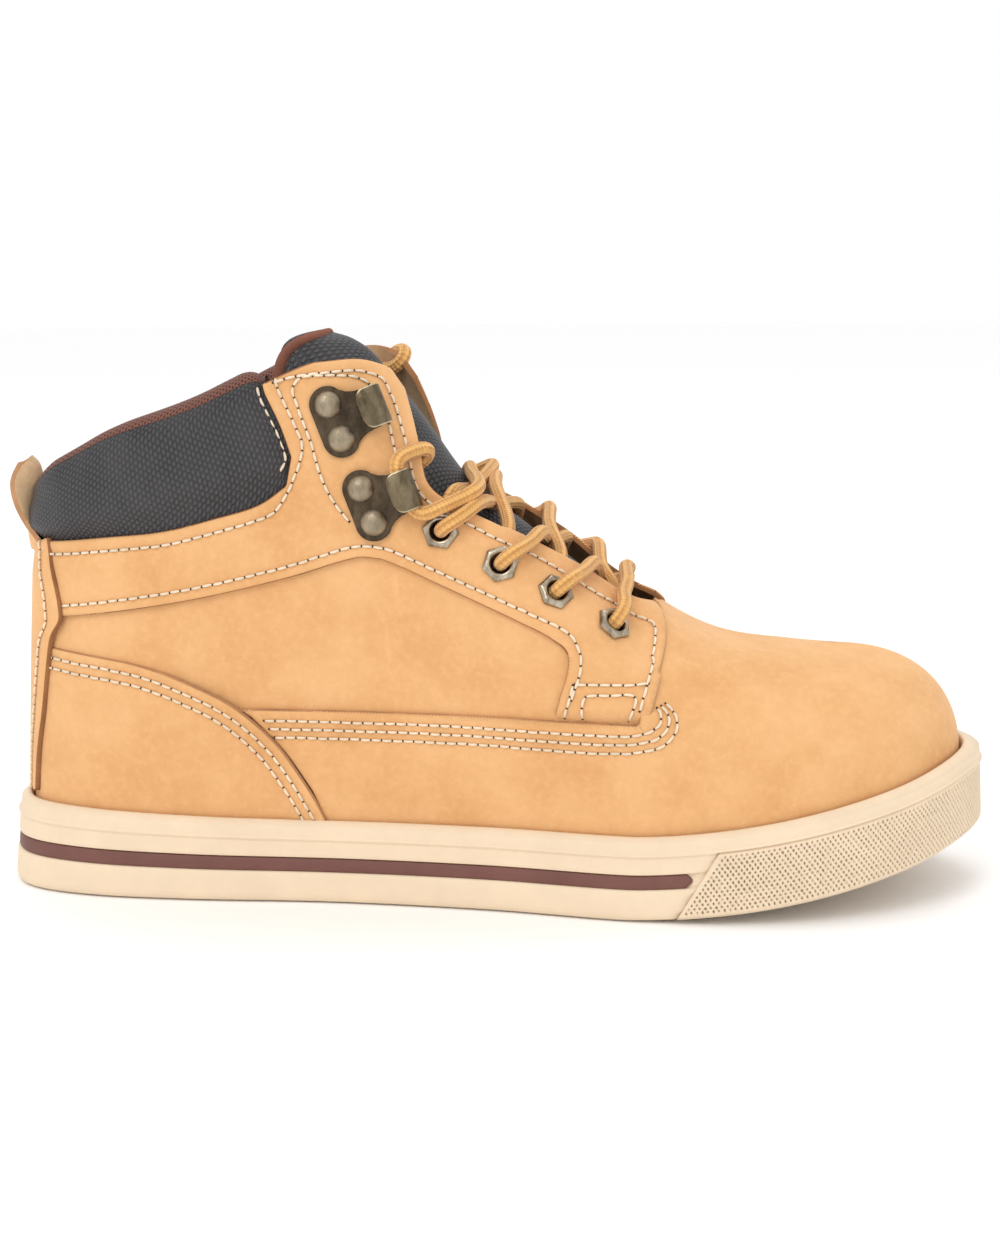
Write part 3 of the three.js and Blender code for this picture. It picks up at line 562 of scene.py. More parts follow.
def nubuck_material(name, light, dark, scuffed=True):
    """Brushed leather: cloudy tone, fine nap, faint pores and a soft sheen."""
    material, tree, shader = new_material(name, light, 0.82)
    shader.inputs["Sheen Weight"].default_value = 0.25
    shader.inputs["Sheen Roughness"].default_value = 0.5
    shader.inputs["Sheen Tint"].default_value = (1.0, 0.86, 0.66, 1)
    shader.inputs["Specular IOR Level"].default_value = 0.25
    clouds = object_noise(tree, 38, 4, 0.6)
    colour = ramp(tree, clouds, [(0.32, dark), (0.62, light)])
    nap = object_noise(tree, 420, 3, 0.6)
    pale = tuple(min(1.0, c * 1.12 + 0.02) for c in light)
    colour = blend_colours(tree, ramp(tree, nap, [(0.45, (0,)), (0.75, (0.35,))]), colour, pale)
    if scuffed:
        streaks = object_noise(tree, 60, 5, 0.7, (1.0, 1.0, 0.25))
        marks = ramp(tree, streaks, [(0.63, (0,)), (0.72, (0.3,))])
        colour = blend_colours(tree, marks, colour, pale)
        stains = object_noise(tree, 21, 2, 0.5)
        stain = ramp(tree, stains, [(0.66, (0,)), (0.8, (0.35,))])
        colour = blend_colours(tree, stain, colour, shaded(dark, 0.8))
    paint(tree, shader, colour)
    grain = object_noise(tree, 1500, 3, 0.6)
    soft = bump(tree, shader, object_noise(tree, 170, 3, 0.5), 0.0006, 0.5)
    bump(tree, shader, grain, 0.00016, 0.8, soft)
    return material


def plain_material(name, colour, roughness, grain=900, depth=0.0001, shade=0.85, metallic=0.0):
    """A surface whose tone and relief both wander a little."""
    material, tree, shader = new_material(name, colour, roughness, metallic)
    cloud = object_noise(tree, 70, 4, 0.6)
    tone = ramp(tree, cloud, [(0.3, shaded(colour, shade)), (0.65, colour)])
    paint(tree, shader, tone)
    bump(tree, shader, object_noise(tree, grain, 3, 0.6), depth, 0.8)
    return material


def metal_material(name, colour, dark, roughness):
    """Antiqued plate: darker in patches, with fine brushing."""
    material, tree, shader = new_material(name, colour, roughness, 1.0)
    patches = object_noise(tree, 240, 6, 0.7, (1.0, 1.0, 0.45))
    paint(tree, shader, ramp(tree, patches, [(0.36, dark), (0.66, colour)]))
    wear = object_noise(tree, 900, 4, 0.6)
    rough = ramp(tree, wear, [(0.3, (roughness * 0.75,)), (0.7, (roughness * 1.4,))])
    tree.links.new(rough, shader.inputs["Roughness"])
    bump(tree, shader, object_noise(tree, 1400, 3, 0.6), 0.00005, 0.6)
    return material


def uv_parts(tree):
    place = tree.nodes.new("ShaderNodeTexCoord")
    parts = tree.nodes.new("ShaderNodeSeparateXYZ")
    tree.links.new(place.outputs["UV"], parts.inputs[0])
    return parts.outputs[0], parts.outputs[1]


def cells(tree, u, v, pitch):
    """A hexagonal field of raised cells, from three waves 60 degrees apart. UV is in mm."""
    total = None
    for angle in (0, 60, 120):
        c = math.cos(math.radians(angle)) * 2 * math.pi / pitch
        s = math.sin(math.radians(angle)) * 2 * math.pi / pitch
        phase = maths(tree, "ADD", maths(tree, "MULTIPLY", u, c), maths(tree, "MULTIPLY", v, s))
        wave = maths(tree, "COSINE", phase)
        total = wave if total is None else maths(tree, "ADD", total, wave)
    return maths(tree, "MULTIPLY_ADD", total, 0.222, 0.333)


def embossed_material(name, colour, pitch):
    material, tree, shader = new_material(name, colour, 0.44)
    shader.inputs["Specular IOR Level"].default_value = 0.4
    u, v = uv_parts(tree)
    field = cells(tree, u, v, pitch)
    relief = ramp(tree, field, [(0.12, (0,)), (0.55, (1,))])
    tone = ramp(tree, field, [(0.08, shaded(colour, 0.3)), (0.4, colour)])
    haze = ramp(tree, object_noise(tree, 60, 3, 0.6), [(0.35, (0,)), (0.7, (0.25,))])
    paint(tree, shader, blend_colours(tree, haze, tone, shaded(colour, 1.8)))
    first = bump(tree, shader, relief, 0.0004, 0.9)
    bump(tree, shader, object_noise(tree, 900, 2, 0.6), 0.00006, 0.6, first)
    return material


def mesh_material(name, colour, pitch):
    """Knitted lining: open cells in staggered rows."""
    material, tree, shader = new_material(name, colour, 0.9)
    shader.inputs["Sheen Weight"].default_value = 0.1
    u, v = uv_parts(tree)
    field = cells(tree, u, v, pitch)
    tone = ramp(tree, field, [(0.15, shaded(colour, 1.5)), (0.6, shaded(colour, 0.45))])
    paint(tree, shader, tone)
    low = maths(tree, "SUBTRACT", 1.0, field)
    bump(tree, shader, low, 0.0005, 0.9)
    return material


def braid_material(name, colour, across, pitch):
    """A round braid: two families of strands that cross. U counts strands round, V is in mm."""
    material, tree, shader = new_material(name, colour, 0.78)
    shader.inputs["Sheen Weight"].default_value = 0.2
    u, v = uv_parts(tree)
    turn = maths(tree, "MULTIPLY", u, 2 * math.pi * across)
    climb = maths(tree, "MULTIPLY", v, 2 * math.pi / pitch)
    one = maths(tree, "COSINE", maths(tree, "ADD", turn, climb))
    two = maths(tree, "COSINE", maths(tree, "SUBTRACT", turn, climb))
    field = maths(tree, "MULTIPLY_ADD", maths(tree, "MULTIPLY", one, two), 0.5, 0.5)
    ribs = maths(tree, "MULTIPLY_ADD", maths(tree, "COSINE", turn), 0.5, 0.5)
    tone = ramp(tree, field, [(0.0, shaded(colour, 0.72)), (0.5, colour)])
    rib_tone = (colour[0] * 0.62, colour[1] * 0.48, colour[2] * 0.34)
    tone = blend_colours(tree, ramp(tree, ribs, [(0.1, (0.8,)), (0.45, (0,))]), tone, rib_tone)
    fleck = ramp(tree, object_noise(tree, 500, 3, 0.6), [(0.5, (0,)), (0.75, (0.35,))])
    paint(tree, shader, blend_colours(tree, fleck, tone, shaded(colour, 1.35)))
    bump(tree, shader, field, 0.0005, 0.8)
    return material


NUBUCK = nubuck_material("nubuck", (0.738, 0.414, 0.183), (0.652, 0.336, 0.132))
NUBUCK_EDGE = plain_material("cut leather edge", (0.36, 0.155, 0.055), 0.9, 1400, 0.0003, 0.6)
TAB_RIM = plain_material("pale cut edge", (0.53, 0.27, 0.125), 0.9, 1400, 0.0003, 0.6)
FLESH = nubuck_material("flesh side", (0.66, 0.45, 0.27), (0.42, 0.27, 0.14), False)
SOLE = plain_material("sole rubber", (0.78, 0.62, 0.44), 0.62, 500, 0.00008, 0.93)
# painted shade: a darker rubber for the notches between the bumper's studs, where shade falls
STUD_GAP_SHADE = plain_material("painted shade between the studs", (0.40, 0.295, 0.19), 0.8, 500, 0.00008, 0.9)
SOLE_DARK = plain_material("tread rubber", (0.62, 0.48, 0.33), 0.8, 500, 0.0002, 0.85)
STRIPE = plain_material("stripe rubber", (0.165, 0.062, 0.047), 0.6, 600, 0.00005, 0.8)
PAD = embossed_material("embossed cover", (0.057, 0.054, 0.057), 1.35)
MESH = mesh_material("lining mesh", (0.13, 0.045, 0.028), 1.15)
BINDING = plain_material("tongue binding", (0.235, 0.085, 0.05), 0.9, 1300, 0.0003, 0.7)
THREAD = plain_material("thread", (0.84, 0.70, 0.52), 0.75, 2500, 0.0002, 0.8)
# painted shade: near-black for the insides of the needle holes and the eyelets
HOLE_SHADE = plain_material("painted shade in holes", (0.07, 0.03, 0.014), 1.0)
LACE = braid_material("lace", (0.78, 0.42, 0.125), 6, 2.1)
NICKEL = metal_material("antique nickel", (0.56, 0.49, 0.38), (0.17, 0.13, 0.085), 0.3)
BRASS = metal_material("antique brass", (0.115, 0.085, 0.055), (0.045, 0.032, 0.022), 0.42)
# painted light: the turned-up lip is a lighter copy of the plate's brass, as it catches more light
LIT_LIP_BRASS = metal_material("lip brass, painted lighter", (0.22, 0.172, 0.105), (0.07, 0.054, 0.034), 0.40)
# painted highlight: a light metal for the edges of the hooks' lips
LIP_HIGHLIGHT = metal_material("painted highlight on the lip's rim", (0.52, 0.44, 0.31), (0.34, 0.28, 0.18), 0.35)
RIVET = metal_material("rivet heads", (0.40, 0.33, 0.235), (0.25, 0.20, 0.135), 0.46)
FOAM = plain_material("foam", (0.62, 0.57, 0.46), 0.95, 1200, 0.0005, 0.8)
BOARD = plain_material("fibre board", (0.45, 0.37, 0.24), 0.95, 1000, 0.0003, 0.8)
STEEL = plain_material("pressed steel", (0.5, 0.5, 0.52), 0.35, 700, 0.00004, 0.85, 1.0)
RUBBER = plain_material("black rubber", (0.02, 0.02, 0.02), 0.8)
TIP = plain_material("lace tip", (0.30, 0.15, 0.06), 0.35, 900, 0.00003)


# ---- lines of the panels, in the side view ----
PAD_BOTTOM = [
    [-160, 107], [-136, 107.5], [-111, 110.3], [-94.5, 112.3], [-79.6, 116.1], [-65, 120.6], [-57, 126],
]
PAD_FRONT = [[-55.4, 134.4], [-58.4, 143.3], [-62.9, 153.4], [-64.3, 162]]
EYESTAY_TOP = [[-63.4, 159], [-55, 161.2], [-46.3, 162], [-36, 162], [-28.5, 158.5]]
THROAT = [
    [-24.6, 152], [-21.5, 144.6], [-18.2, 135.2], [-15.9, 127], [-12.8, 123.2], [-8.1, 120.3],
    [12, 109.3], [24, 102.2], [38, 92.5], [44.6, 88.6],
]
QUARTER_FRONT = [[49.5, 86.0], [52.6, 82.4], [53.2, 77], [51.6, 69], [50, 60.5]]
BAND_LOW = [
    [-160, 82], [-133, 84.5], [-110.8, 87.6], [-85.2, 92.1],
    [-56, 99], [-41, 103.6], [-35, 104.9], [-29, 104.4],
]
FACING_LOW = [[-16.8, 99.4], [10, 87.6], [21.5, 81.8], [25.6, 78], [26.2, 73.4], [24.1, 65.5], [22.2, 58.8]]
COUNTER_TOP = [
    [-160, 79], [-134.5, 75.6], [-104.2, 71.6], [-87.4, 66.1], [-74.8, 59.4],
    [-63.1, 48.9], [-55.7, 38.6], [-48.5, 25.9], [-45, 15],
]
EYELETS = [[37.9, 83.9], [21.4, 94], [6.1, 102.8], [-11.3, 112.5]]
HOOKS = [
    {"rivets": [[-34.8, 124.4], [-30.6, 115.8]], "lip": [-21.0, 124.5]},
    {"rivets": [[-44.4, 149], [-40.6, 139.8]], "lip": [-30.6, 148.8]},
]
HEEL_GAP = 0.03
PAST_HEEL = -150  # a side-view line that starts or ends behind this runs on to the heel's middle


def heel_end(side):
    """The station where one side's panels stop, beside the heel's middle."""
    return HEEL_GAP if side < 0 else STATIONS - HEEL_GAP


def trace(points, side, step=0.8):
    """A smooth side-view line as stations and v, cut where it passes the heel or the sole."""
    s, v = locate(spline(points, step), side)
    inside = (fold(s) > HEEL_GAP) & (v > 0.003)
    path = np.stack([s[inside], v[inside]], 1)
    if points[0][0] < PAST_HEEL:
        path = np.vstack([[heel_end(side), path[0, 1]], path])
    if points[-1][0] < PAST_HEEL:
        path = np.vstack([path, [heel_end(side), path[-1, 1]]])
    return path


def along_sole(s0, s1):
    s = np.linspace(s0, s1, max(2, int(abs(s1 - s0) / 0.03)))
    return np.stack([s, np.zeros_like(s)], 1)


def jacobian(s, v):
    ds = 0.01
    dv = 0.003
    v0 = np.maximum(0, v - dv)
    v1 = np.minimum(1, v + dv)
    e_s = (surface(s + ds, v) - surface(s - ds, v)) / (2 * ds)
    e_v = (surface(s, v1) - surface(s, v0)) / (v1 - v0)[..., None]
    return e_s, e_v


def param_step(s, v, wanted):
    """The change of station and v that moves along the surface by a wanted 3-D step."""
    e_s, e_v = jacobian(s, v)
    a = (e_s * e_s).sum(-1)
    b = (e_s * e_v).sum(-1)
    c = (e_v * e_v).sum(-1)
    p = (e_s * wanted).sum(-1)
    q = (e_v * wanted).sum(-1)
    det = np.maximum(a * c - b * b, 1e-6 * a * c + 1e-9)
    return np.stack([(c * p - b * q) / det, (a * q - b * p) / det], -1)


def inside_polygon(points, polygon):
    x, y = points[:, 0], points[:, 1]
    inside = np.zeros(len(points), bool)
    a = polygon
    b = np.roll(polygon, -1, axis=0)
    for (x0, y0), (x1, y1) in zip(a, b):
        if y0 == y1:
            continue
        crosses = ((y0 > y) != (y1 > y)) & (x < (x1 - x0) * (y - y0) / (y1 - y0) + x0)
        inside ^= crosses
    return inside


def clean_loop(loop, step):
    """The loop resampled evenly along the surface."""
    closed = np.vstack([loop, loop[:1]])
    run = lengths(on_surface(closed))
    apart = np.concatenate([[True], np.diff(run) > 1e-6])
    run = run[apart]
    closed = closed[apart]
    count = max(8, int(run[-1] / step))
    return columns_at(closed, run, np.linspace(0, run[-1], count, endpoint=False))


def signed_area(loop):
    x, y = loop[:, 0], loop[:, 1]
    return 0.5 * np.sum(x * np.roll(y, -1) - np.roll(x, -1) * y)


def waver(points):
    """Slight unevenness shared by every layer of the upper."""
    return 0.3 * noise_field(points, 55, 3)


STATION_MM = 38.0  # about how far one station runs
RIM_STEPS = (0.3, 0.85, 1.7)  # rows of points inside a panel's edge, which carry its rounding
CUT_EDGE = 0.28  # faces nearer to the edge than this show the cut leather
GROOVE_DEPTH = 0.38  # how far a row of stitches pulls the leather down
GROOVE_WIDTH = 1.05
THINNEST = 0.4


def hole_loop(s, v, radius):
    """A circle on the surface, as stations and v."""
    turn = turns(20)
    e_s, e_v = jacobian(np.array([s]), np.array([v]))
    x_axis = unit(e_s)[0]
    y_axis = np.cross(unit(np.cross(e_s, e_v))[0], x_axis)
    wanted = radius * (np.cos(turn)[:, None] * x_axis + np.sin(turn)[:, None] * y_axis)
    centre = np.tile([[s, v]], (len(turn), 1))
    return centre + param_step(centre[:, 0], centre[:, 1], wanted)


def rim_points(loop, seam, edge_tree):
    tangent = np.roll(loop, -1, axis=0) - np.roll(loop, 1, axis=0)
    e_s, e_v = jacobian(loop[:, 0], loop[:, 1])
    flat = unit(tangent[:, :1] * e_s + tangent[:, 1:] * e_v)
    inward = np.cross(unit(np.cross(e_s, e_v)), flat)
    rings = []
    for depth in RIM_STEPS:
        ring = loop + param_step(loop[:, 0], loop[:, 1], inward * depth)
        ring[:, 1] = np.minimum(ring[:, 1], 1)
        far = distances(on_surface(ring), edge_tree) > depth * 0.85
        rings.append(ring[far & ~seam & inside_polygon(ring, loop)])
    return rings


def inner_points(loops, edge_tree, rise, spacing):
    """Staggered rows of points over the inside of a panel."""
    low = loops[0].min(0)
    high = loops[0].max(0)
    v_count = max(3, int(rise / spacing))
    s_count = max(3, int((high[0] - low[0]) * STATION_MM / spacing))
    s_row = np.linspace(low[0], high[0], s_count)
    s_grid, v_grid = np.meshgrid(s_row, np.linspace(low[1], high[1], v_count))
    s_grid = s_grid + (np.arange(v_count)[:, None] % 2) * (high[0] - low[0]) / s_count / 2
    inner = np.stack([s_grid.ravel(), v_grid.ravel()], 1)
    inner = inner[(inner[:, 1] < 0.999) & inside_polygon(inner, loops[0])]
    inner = inner[distances(on_surface(inner), edge_tree) > 2.3]
    for hole in loops[1:]:
        away = distances(on_surface(inner), tree_of(on_surface(hole)))
        inner = inner[(away > 0.9) & ~inside_polygon(inner, hole)]
    return inner


def filled(loops, others, scale):
    """Triangles inside the first loop and outside the rest.

    Returns the points, the triangles, the loops' point numbers and where each went.
    """
    edges = []
    rings = []
    start = 0
    for loop in loops:
        ring = ring_of(len(loop), start=start)
        edges += zip(ring, ring[1:] + ring[:1])
        rings.append(ring[::-1] if rings else ring)
        start += len(loop)
    points = np.vstack(loops + others)
    result = geometry.delaunay_2d_cdt([Vector(p * scale) for p in points], edges, [], 1, 1e-5)
    flat = np.array([[p.x, p.y] for p in result[0]]) / scale
    triangles = np.array([t for t in result[2] if len(t) == 3], int)
    centres = flat[triangles].mean(1)
    solid = np.ones(len(triangles), bool)
    for hole in loops[1:]:
        solid &= ~inside_polygon(centres, hole)
    triangles = triangles[solid]
    a, b, c = (flat[triangles[:, k]] * scale for k in range(3))
    area = (b[:, 0] - a[:, 0]) * (c[:, 1] - a[:, 1]) - (c[:, 0] - a[:, 0]) * (b[:, 1] - a[:, 1])
    triangles[area < 0] = triangles[area < 0][:, ::-1]
    found = {ids[0]: i for i, ids in enumerate(result[3]) if ids}
    return flat, triangles, rings, found


def panel(
    name, polygon, top, skins, thickness=LEATHER, holes=(), grooves=(), spacing=1.7, edge=0.8, puff=0.0
):
    """A sheet on the surface. top gives its outer skin's distance from the surface.

    skins are the materials of its outer side, its cut edge and its back. Its edge is rounded
    by a radius, and the rest can be puffed up.
    """
    loop = clean_loop(np.asarray(polygon, float), 1.0)
    if signed_area(loop) < 0:
        loop = loop[::-1]
    seam = (loop[:, 1] > 0.9995) & (fold(loop[:, 0]) >= RIDGE_STATION - 0.05)
    edge_tree = tree_of(on_surface(loop)[~seam])
    low = loop.min(0)
    high = loop.max(0)
    middle = (low[0] + high[0]) / 2
    rise = lengths(surface(np.full(30, middle), np.linspace(low[1], high[1], 30)))[-1]
    scale = np.array([STATION_MM, max(rise, 1) / max(high[1] - low[1], 1e-3)])
    loops = [loop] + [hole_loop(*hole) for hole in holes]
    others = rim_points(loop, seam, edge_tree) + [inner_points(loops, edge_tree, rise, spacing)]
    flat, triangles, rings, found = filled(loops, others, scale)
    s, v = flat[:, 0], np.minimum(flat[:, 1], 1)
    base = surface(s, v)
    far = distances(base, edge_tree)
    drop = np.where(far < edge, edge - np.sqrt(np.maximum(0, edge**2 - (edge - far) ** 2)), 0)
    height = top(base) + waver(base) - drop + puff * smoothstep(0, 14, far)
    if len(grooves):
        away = distances(base, tree_of(np.vstack(grooves))) / GROOVE_WIDTH
        height -= GROOVE_DEPTH * np.exp(-(away**2))
    depth = np.minimum(top(base) - thickness + waver(base), height - THINNEST)
    normal = outward(s, v)
    verts = np.vstack([base + normal * height[:, None], base + normal * depth[:, None]])
    count = len(base)
    faces = [tuple(t) for t in triangles] + [tuple(t[::-1] + count) for t in triangles]
    marks = [int(near) for near in far[triangles].mean(1) < CUT_EDGE] + [2] * len(triangles)
    open_ids = set(np.nonzero(seam)[0].tolist())
    for ring in rings:
        for one, two in zip(ring, ring[1:] + ring[:1]):
            if {one, two} <= open_ids or one not in found or two not in found:
                continue
            p, q = found[one], found[two]
            faces.append((q, p, p + count, q + count))
            marks.append(1)
    uv = np.stack([s * STATION_MM, v * scale[1]], 1)
    obj = new_object(name, verts, faces, skins, marks, np.vstack([uv, uv]))
    if seam.any():
        with edited(obj) as bm:
            bmesh.ops.remove_doubles(bm, verts=bm.verts, dist=0.02 * MM)
    part_edges(obj, 1.2)
    return obj


# ---- seams of stitches ----
PITCH = 3.3
THREAD_RADIUS = 0.42
THREAD_RISE = 0.62  # how far a stitch arches over the leather
THREAD_SUNK = 0.16
NEEDLE_HOLE = 0.4
THREAD_RINGS = 6
THREAD_SIDES = 8
HOLE_SIDES = 7
thread_verts, thread_faces, hole_verts, hole_faces = [], [], [], []


def sew(path, height, pitch=PITCH):
    """Stitches along a path of stations and v; returns where the leather is pulled down."""
    path = np.asarray(path, float)
    base = on_surface(path)
    run = lengths(base)
    apart = np.concatenate([[True], np.diff(run) > 1e-6])
    run, path = run[apart], path[apart]
    count = max(1, int(run[-1] / pitch))
    pitch = run[-1] / count

    def over(at, gap):
        """Points at some lengths along the seam and a gap above the leather, and the normals."""
        s = np.interp(at, run, path[:, 0])
        v = np.interp(at, run, path[:, 1])
        point = surface(s, v)
        normal = outward(s, v)
        return point + normal * (height(point) + waver(point) + gap)[:, None], normal

    local = np.linspace(0, 1, THREAD_RINGS)
    at = (np.arange(count)[:, None] + 0.09 + 0.82 * local[None, :]) * pitch
    arch = np.tile(THREAD_RISE * np.sin(np.pi * (0.06 + 0.88 * local)) ** 0.6 - 0.12, count)
    centre, normal = over(at.ravel(), arch - THREAD_SUNK)
    ahead = unit(np.gradient(centre.reshape(count, THREAD_RINGS, 3), axis=1).reshape(-1, 3))
    across = unit(np.cross(normal, ahead))
    upward = np.cross(ahead, across)
    rng = np.random.default_rng(int(run[-1] * 10) % 1000)
    sway = np.repeat(rng.uniform(-0.1, 0.1, count), THREAD_RINGS)[:, None, None]
    width = THREAD_RADIUS * np.tile(0.55 + 0.45 * np.sin(np.pi * local) ** 0.5, count)[:, None, None]
    turn = turns(THREAD_SIDES)
    ringed = centre[:, None, :] + across[:, None, :] * (sway + np.cos(turn)[None, :, None] * width)
    ringed = ringed + upward[:, None, :] * (np.sin(turn) * 0.8)[None, :, None] * width
    first = sum(len(x) for x in thread_verts)
    thread_verts.append(ringed.reshape(-1, 3))
    block = grid_faces(THREAD_RINGS, THREAD_SIDES, close_columns=True)
    for k in range(count):
        thread_faces.append(block + first + k * THREAD_RINGS * THREAD_SIDES)
    # a dark disc at each needle hole is painted shade in the hole
    centre, normal = over(np.arange(count + 1) * pitch, 0.03)
    one = unit(np.cross(normal, np.array([0.3, 0.2, 0.9])))[:, None, :]
    two = np.cross(normal, one[:, 0])[:, None, :]
    turn = turns(HOLE_SIDES)[None, :, None]
    disc = centre[:, None, :] + NEEDLE_HOLE * (np.cos(turn) * one + np.sin(turn) * two)
    first = sum(len(x) for x in hole_verts)
    hole_verts.append(disc.reshape(-1, 3))
    hole_faces.extend(ring_of(HOLE_SIDES, k, first) for k in range(len(centre)))
    return base


def sew_line(points, side, height):
    """Stitches along a side-view line."""
    return sew(trace(points, side, 0.5), height)


def finish_stitches():
    threads = new_object("stitching", np.vstack(thread_verts), np.vstack(thread_faces), [THREAD])
    holes = new_object("needle_hole_shade", np.vstack(hole_verts), hole_faces, [HOLE_SHADE], smooth=False)
    for obj in (threads, holes):
        show(obj, "boot", None)


# ---- heights of the leather layers above the reference surface ----
def vamp_top(base):
    """The wings lie over the quarters; behind the quarters' fronts the vamp lies under them."""
    x, z = base[..., 0], base[..., 2]
    front_x = np.interp(z, [57, 60.5, 69, 77, 82.4, 86, 89], [58, 50, 51.6, 53.2, 52.6, 49.5, 44])
    under = smoothstep(1.0, 6.0, front_x - x) * smoothstep(59.0, 62.0, z)
    return 2.1 - 1.7 * under


def wing_dip(base):
    """How far a panel's foot has dived under the vamp's wing."""
    x, z = base[..., 0], base[..., 2]
    return smoothstep(61.5, 57.5, z) * smoothstep(53, 50, x)


def quarter_top(base):
    heel = smoothstep(-126, -140, base[..., 0])
    return 0.3 - 0.3 * wing_dip(base) + 1.5 * heel


def eyestay_top(base):
    x, z = base[..., 0], base[..., 2]
    front = smoothstep(9, 1, 51.5 - x) * smoothstep(57, 62, z)
    return 2.3 + 1.2 * front - 2.5 * wing_dip(base)


def counter_top(base):
    x, z = base[..., 0], base[..., 2]
    edge = np.array(COUNTER_TOP[:8])
    over = smoothstep(24, 5, np.interp(x, edge[:, 0], edge[:, 1]) - z) * smoothstep(-110, -84, x)
    return 2.2 + 1.5 * over


def eyelet_holes(side):
    return [(s, v, 3.2) for s, v in zip(*locate(EYELETS, side))]


LEATHERS = [NUBUCK, NUBUCK_EDGE, FLESH]
PALE_EDGED = [NUBUCK, TAB_RIM, FLESH]


def path_of(side, *runs):
    """Stations and v along several side-view lines, one after the other."""
    return np.vstack([trace(run, side) for run in runs])


def mirrored(points):
    return [list(p) for p in points][::-1]


def inset_line(points, distance, start=0.0, end=0.0):
    """A side-view line parallel to another, trimmed by some length at each end."""
    line = spline(points, 0.8)
    line = beside(line, distance)
    run = lengths(line)
    keep = (run >= start) & (run <= run[-1] - end)
    return line[keep]


def build_vamp():
    grooves = []
    rims = []
    for side in SIDES.values():
        # three rows follow the wing's edge and turn up round the slit at the quarter's front
        for row, inset in enumerate((3.4, 6.0, 8.6)):
            z = 58.2 - inset
            turn = [
                [-66 + row * 1.5, z + 0.3], [0, z + 0.1], [38, z - 0.4], [45 + row, z - 0.4 + row * 0.25],
                [50.5 + row * 1.75, z + 1.0 + row * 0.5], [52.6 + row * 2.2, z + 3.0 + row * 1.3],
                [52.4 + row * 2.1, z + 5.2 + row * 2.05], [51.4 + row * 1.1, z + 6.8 + row * 3.0],
            ]
            grooves.append(sew_line(turn, side, vamp_top))
        rims.append(path_of(
            side,
            [[-52, 33], [-60, 45], [-70, 56]],
            [[-74, 58.4], [-30, 58.2], [16, 58.1], [36, 57.6], [46.5, 57.2]],
            [[47.0, 59], [46.2, 66], [46.4, 76], [44, 84]],
        ))
    # the two halves of the outline meet along the ridge over the toes
    ridge = np.stack([np.linspace(7.28, TOE, 60), np.ones(60)], 1)
    medial_ridge = ridge * [-1, 1] + [STATIONS, 0]
    foot = [locate([[-47, 24.5]], side)[0][0] for side in SIDES.values()]
    polygon = np.vstack([along_sole(*foot), rims[1], medial_ridge, ridge[::-1], rims[0][::-1]])
    obj = panel("vamp_look", polygon, vamp_top, PALE_EDGED, grooves=grooves, edge=0.7)
    show(obj, "boot", "nubuck", "vamp")


def build_quarter(name, side):
    polygon = path_of(
        side,
        [[-160, 52], [-60, 51], [28, 51]],
        [[29.5, 60], [31, 72], [27, 83]],
        mirrored(shifted(FACING_LOW[:3], 0, 5)),
        mirrored(shifted(BAND_LOW, 0, 5)),
    )
    obj = panel(f"quarter_{name}_look", polygon, quarter_top, LEATHERS, puff=0.5)
    show(obj, "boot", "nubuck", f"quarter_{name}")


def eyestay_seams():
    """The rows of stitches on an eyestay, as side-view lines."""
    front = inset_line(QUARTER_FRONT, -3.4, 0.6)
    lead = inset_line(THROAT[-3:], -3.6, 8.5, 1.2)
    corner = np.vstack([lead[-1:], front]).tolist()
    pad_side = inset_line(mirrored(PAD_FRONT), 4.2, 1.5, 1.0).tolist()
    pad_low = inset_line(PAD_BOTTOM, -4.0, 1.0, 1.0).tolist()
    low_row = inset_line(BAND_LOW + FACING_LOW[:-1], 3.4).tolist()
    round_the_hooks = [
        [-38.3, 115.5], [-42.7, 121], [-46.2, 127.7], [-49.7, 139.3], [-53.0, 148.5],
        [-54.6, 154.4], [-52.4, 157.4], [-45, 157.8], [-37.4, 157.0], [-32.6, 153.8],
        [-28.6, 146.5], [-26.0, 138], [-23.8, 130.5],
    ]
    box_at_the_foot = [
        [[28.3, 69.2], [38, 68.6], [48.2, 67.8]],
        [[27.8, 69.0], [26.6, 64], [25.2, 58.9]],
        [[30.4, 58.9], [31.2, 65.4], [37, 65.8], [45.2, 64.8], [43.8, 58.5]],
    ]
    return [
        inset_line(EYESTAY_TOP + THROAT, -3.4, 2.0).tolist(),
        [corner[0], corner[4]] + corner[8::6] + [corner[-1]],
        round_the_hooks,
        pad_side[::8] + pad_low[::-1][6:-1:8],
        low_row[::5] + [low_row[-1]],
    ] + box_at_the_foot


def build_eyestay(name, side):
    grooves = [sew_line(row, side, eyestay_top) for row in eyestay_seams()]
    polygon = path_of(
        side,
        BAND_LOW,
        FACING_LOW,
        [[21.5, 55.5], [21.3, 52.5], [34, 52], [48.6, 52], [49.6, 55.5]],
        mirrored(QUARTER_FRONT),
        mirrored(THROAT),
        mirrored(EYESTAY_TOP),
        mirrored(PAD_FRONT)[1:],
        mirrored(PAD_BOTTOM),
    )
    obj = panel(
        f"eyestay_{name}_look", polygon, eyestay_top, LEATHERS,
        holes=eyelet_holes(side), grooves=grooves, spacing=1.6,
    )
    show(obj, "boot", "nubuck", f"eyestay_{name}")


def build_counter(name, side):
    grooves = []
    for inset in (-3.2, -6.4):
        run = inset_line(COUNTER_TOP[:-1], inset).tolist()
        grooves.append(sew_line(run[::6] + [run[-1]], side, counter_top))
    line = trace(COUNTER_TOP, side)
    polygon = np.vstack([line, along_sole(line[-1, 0], heel_end(side))])
    obj = panel(f"counter_{name}_look", polygon, counter_top, PALE_EDGED, grooves=grooves)
    show(obj, "boot", "nubuck", f"counter_{name}")


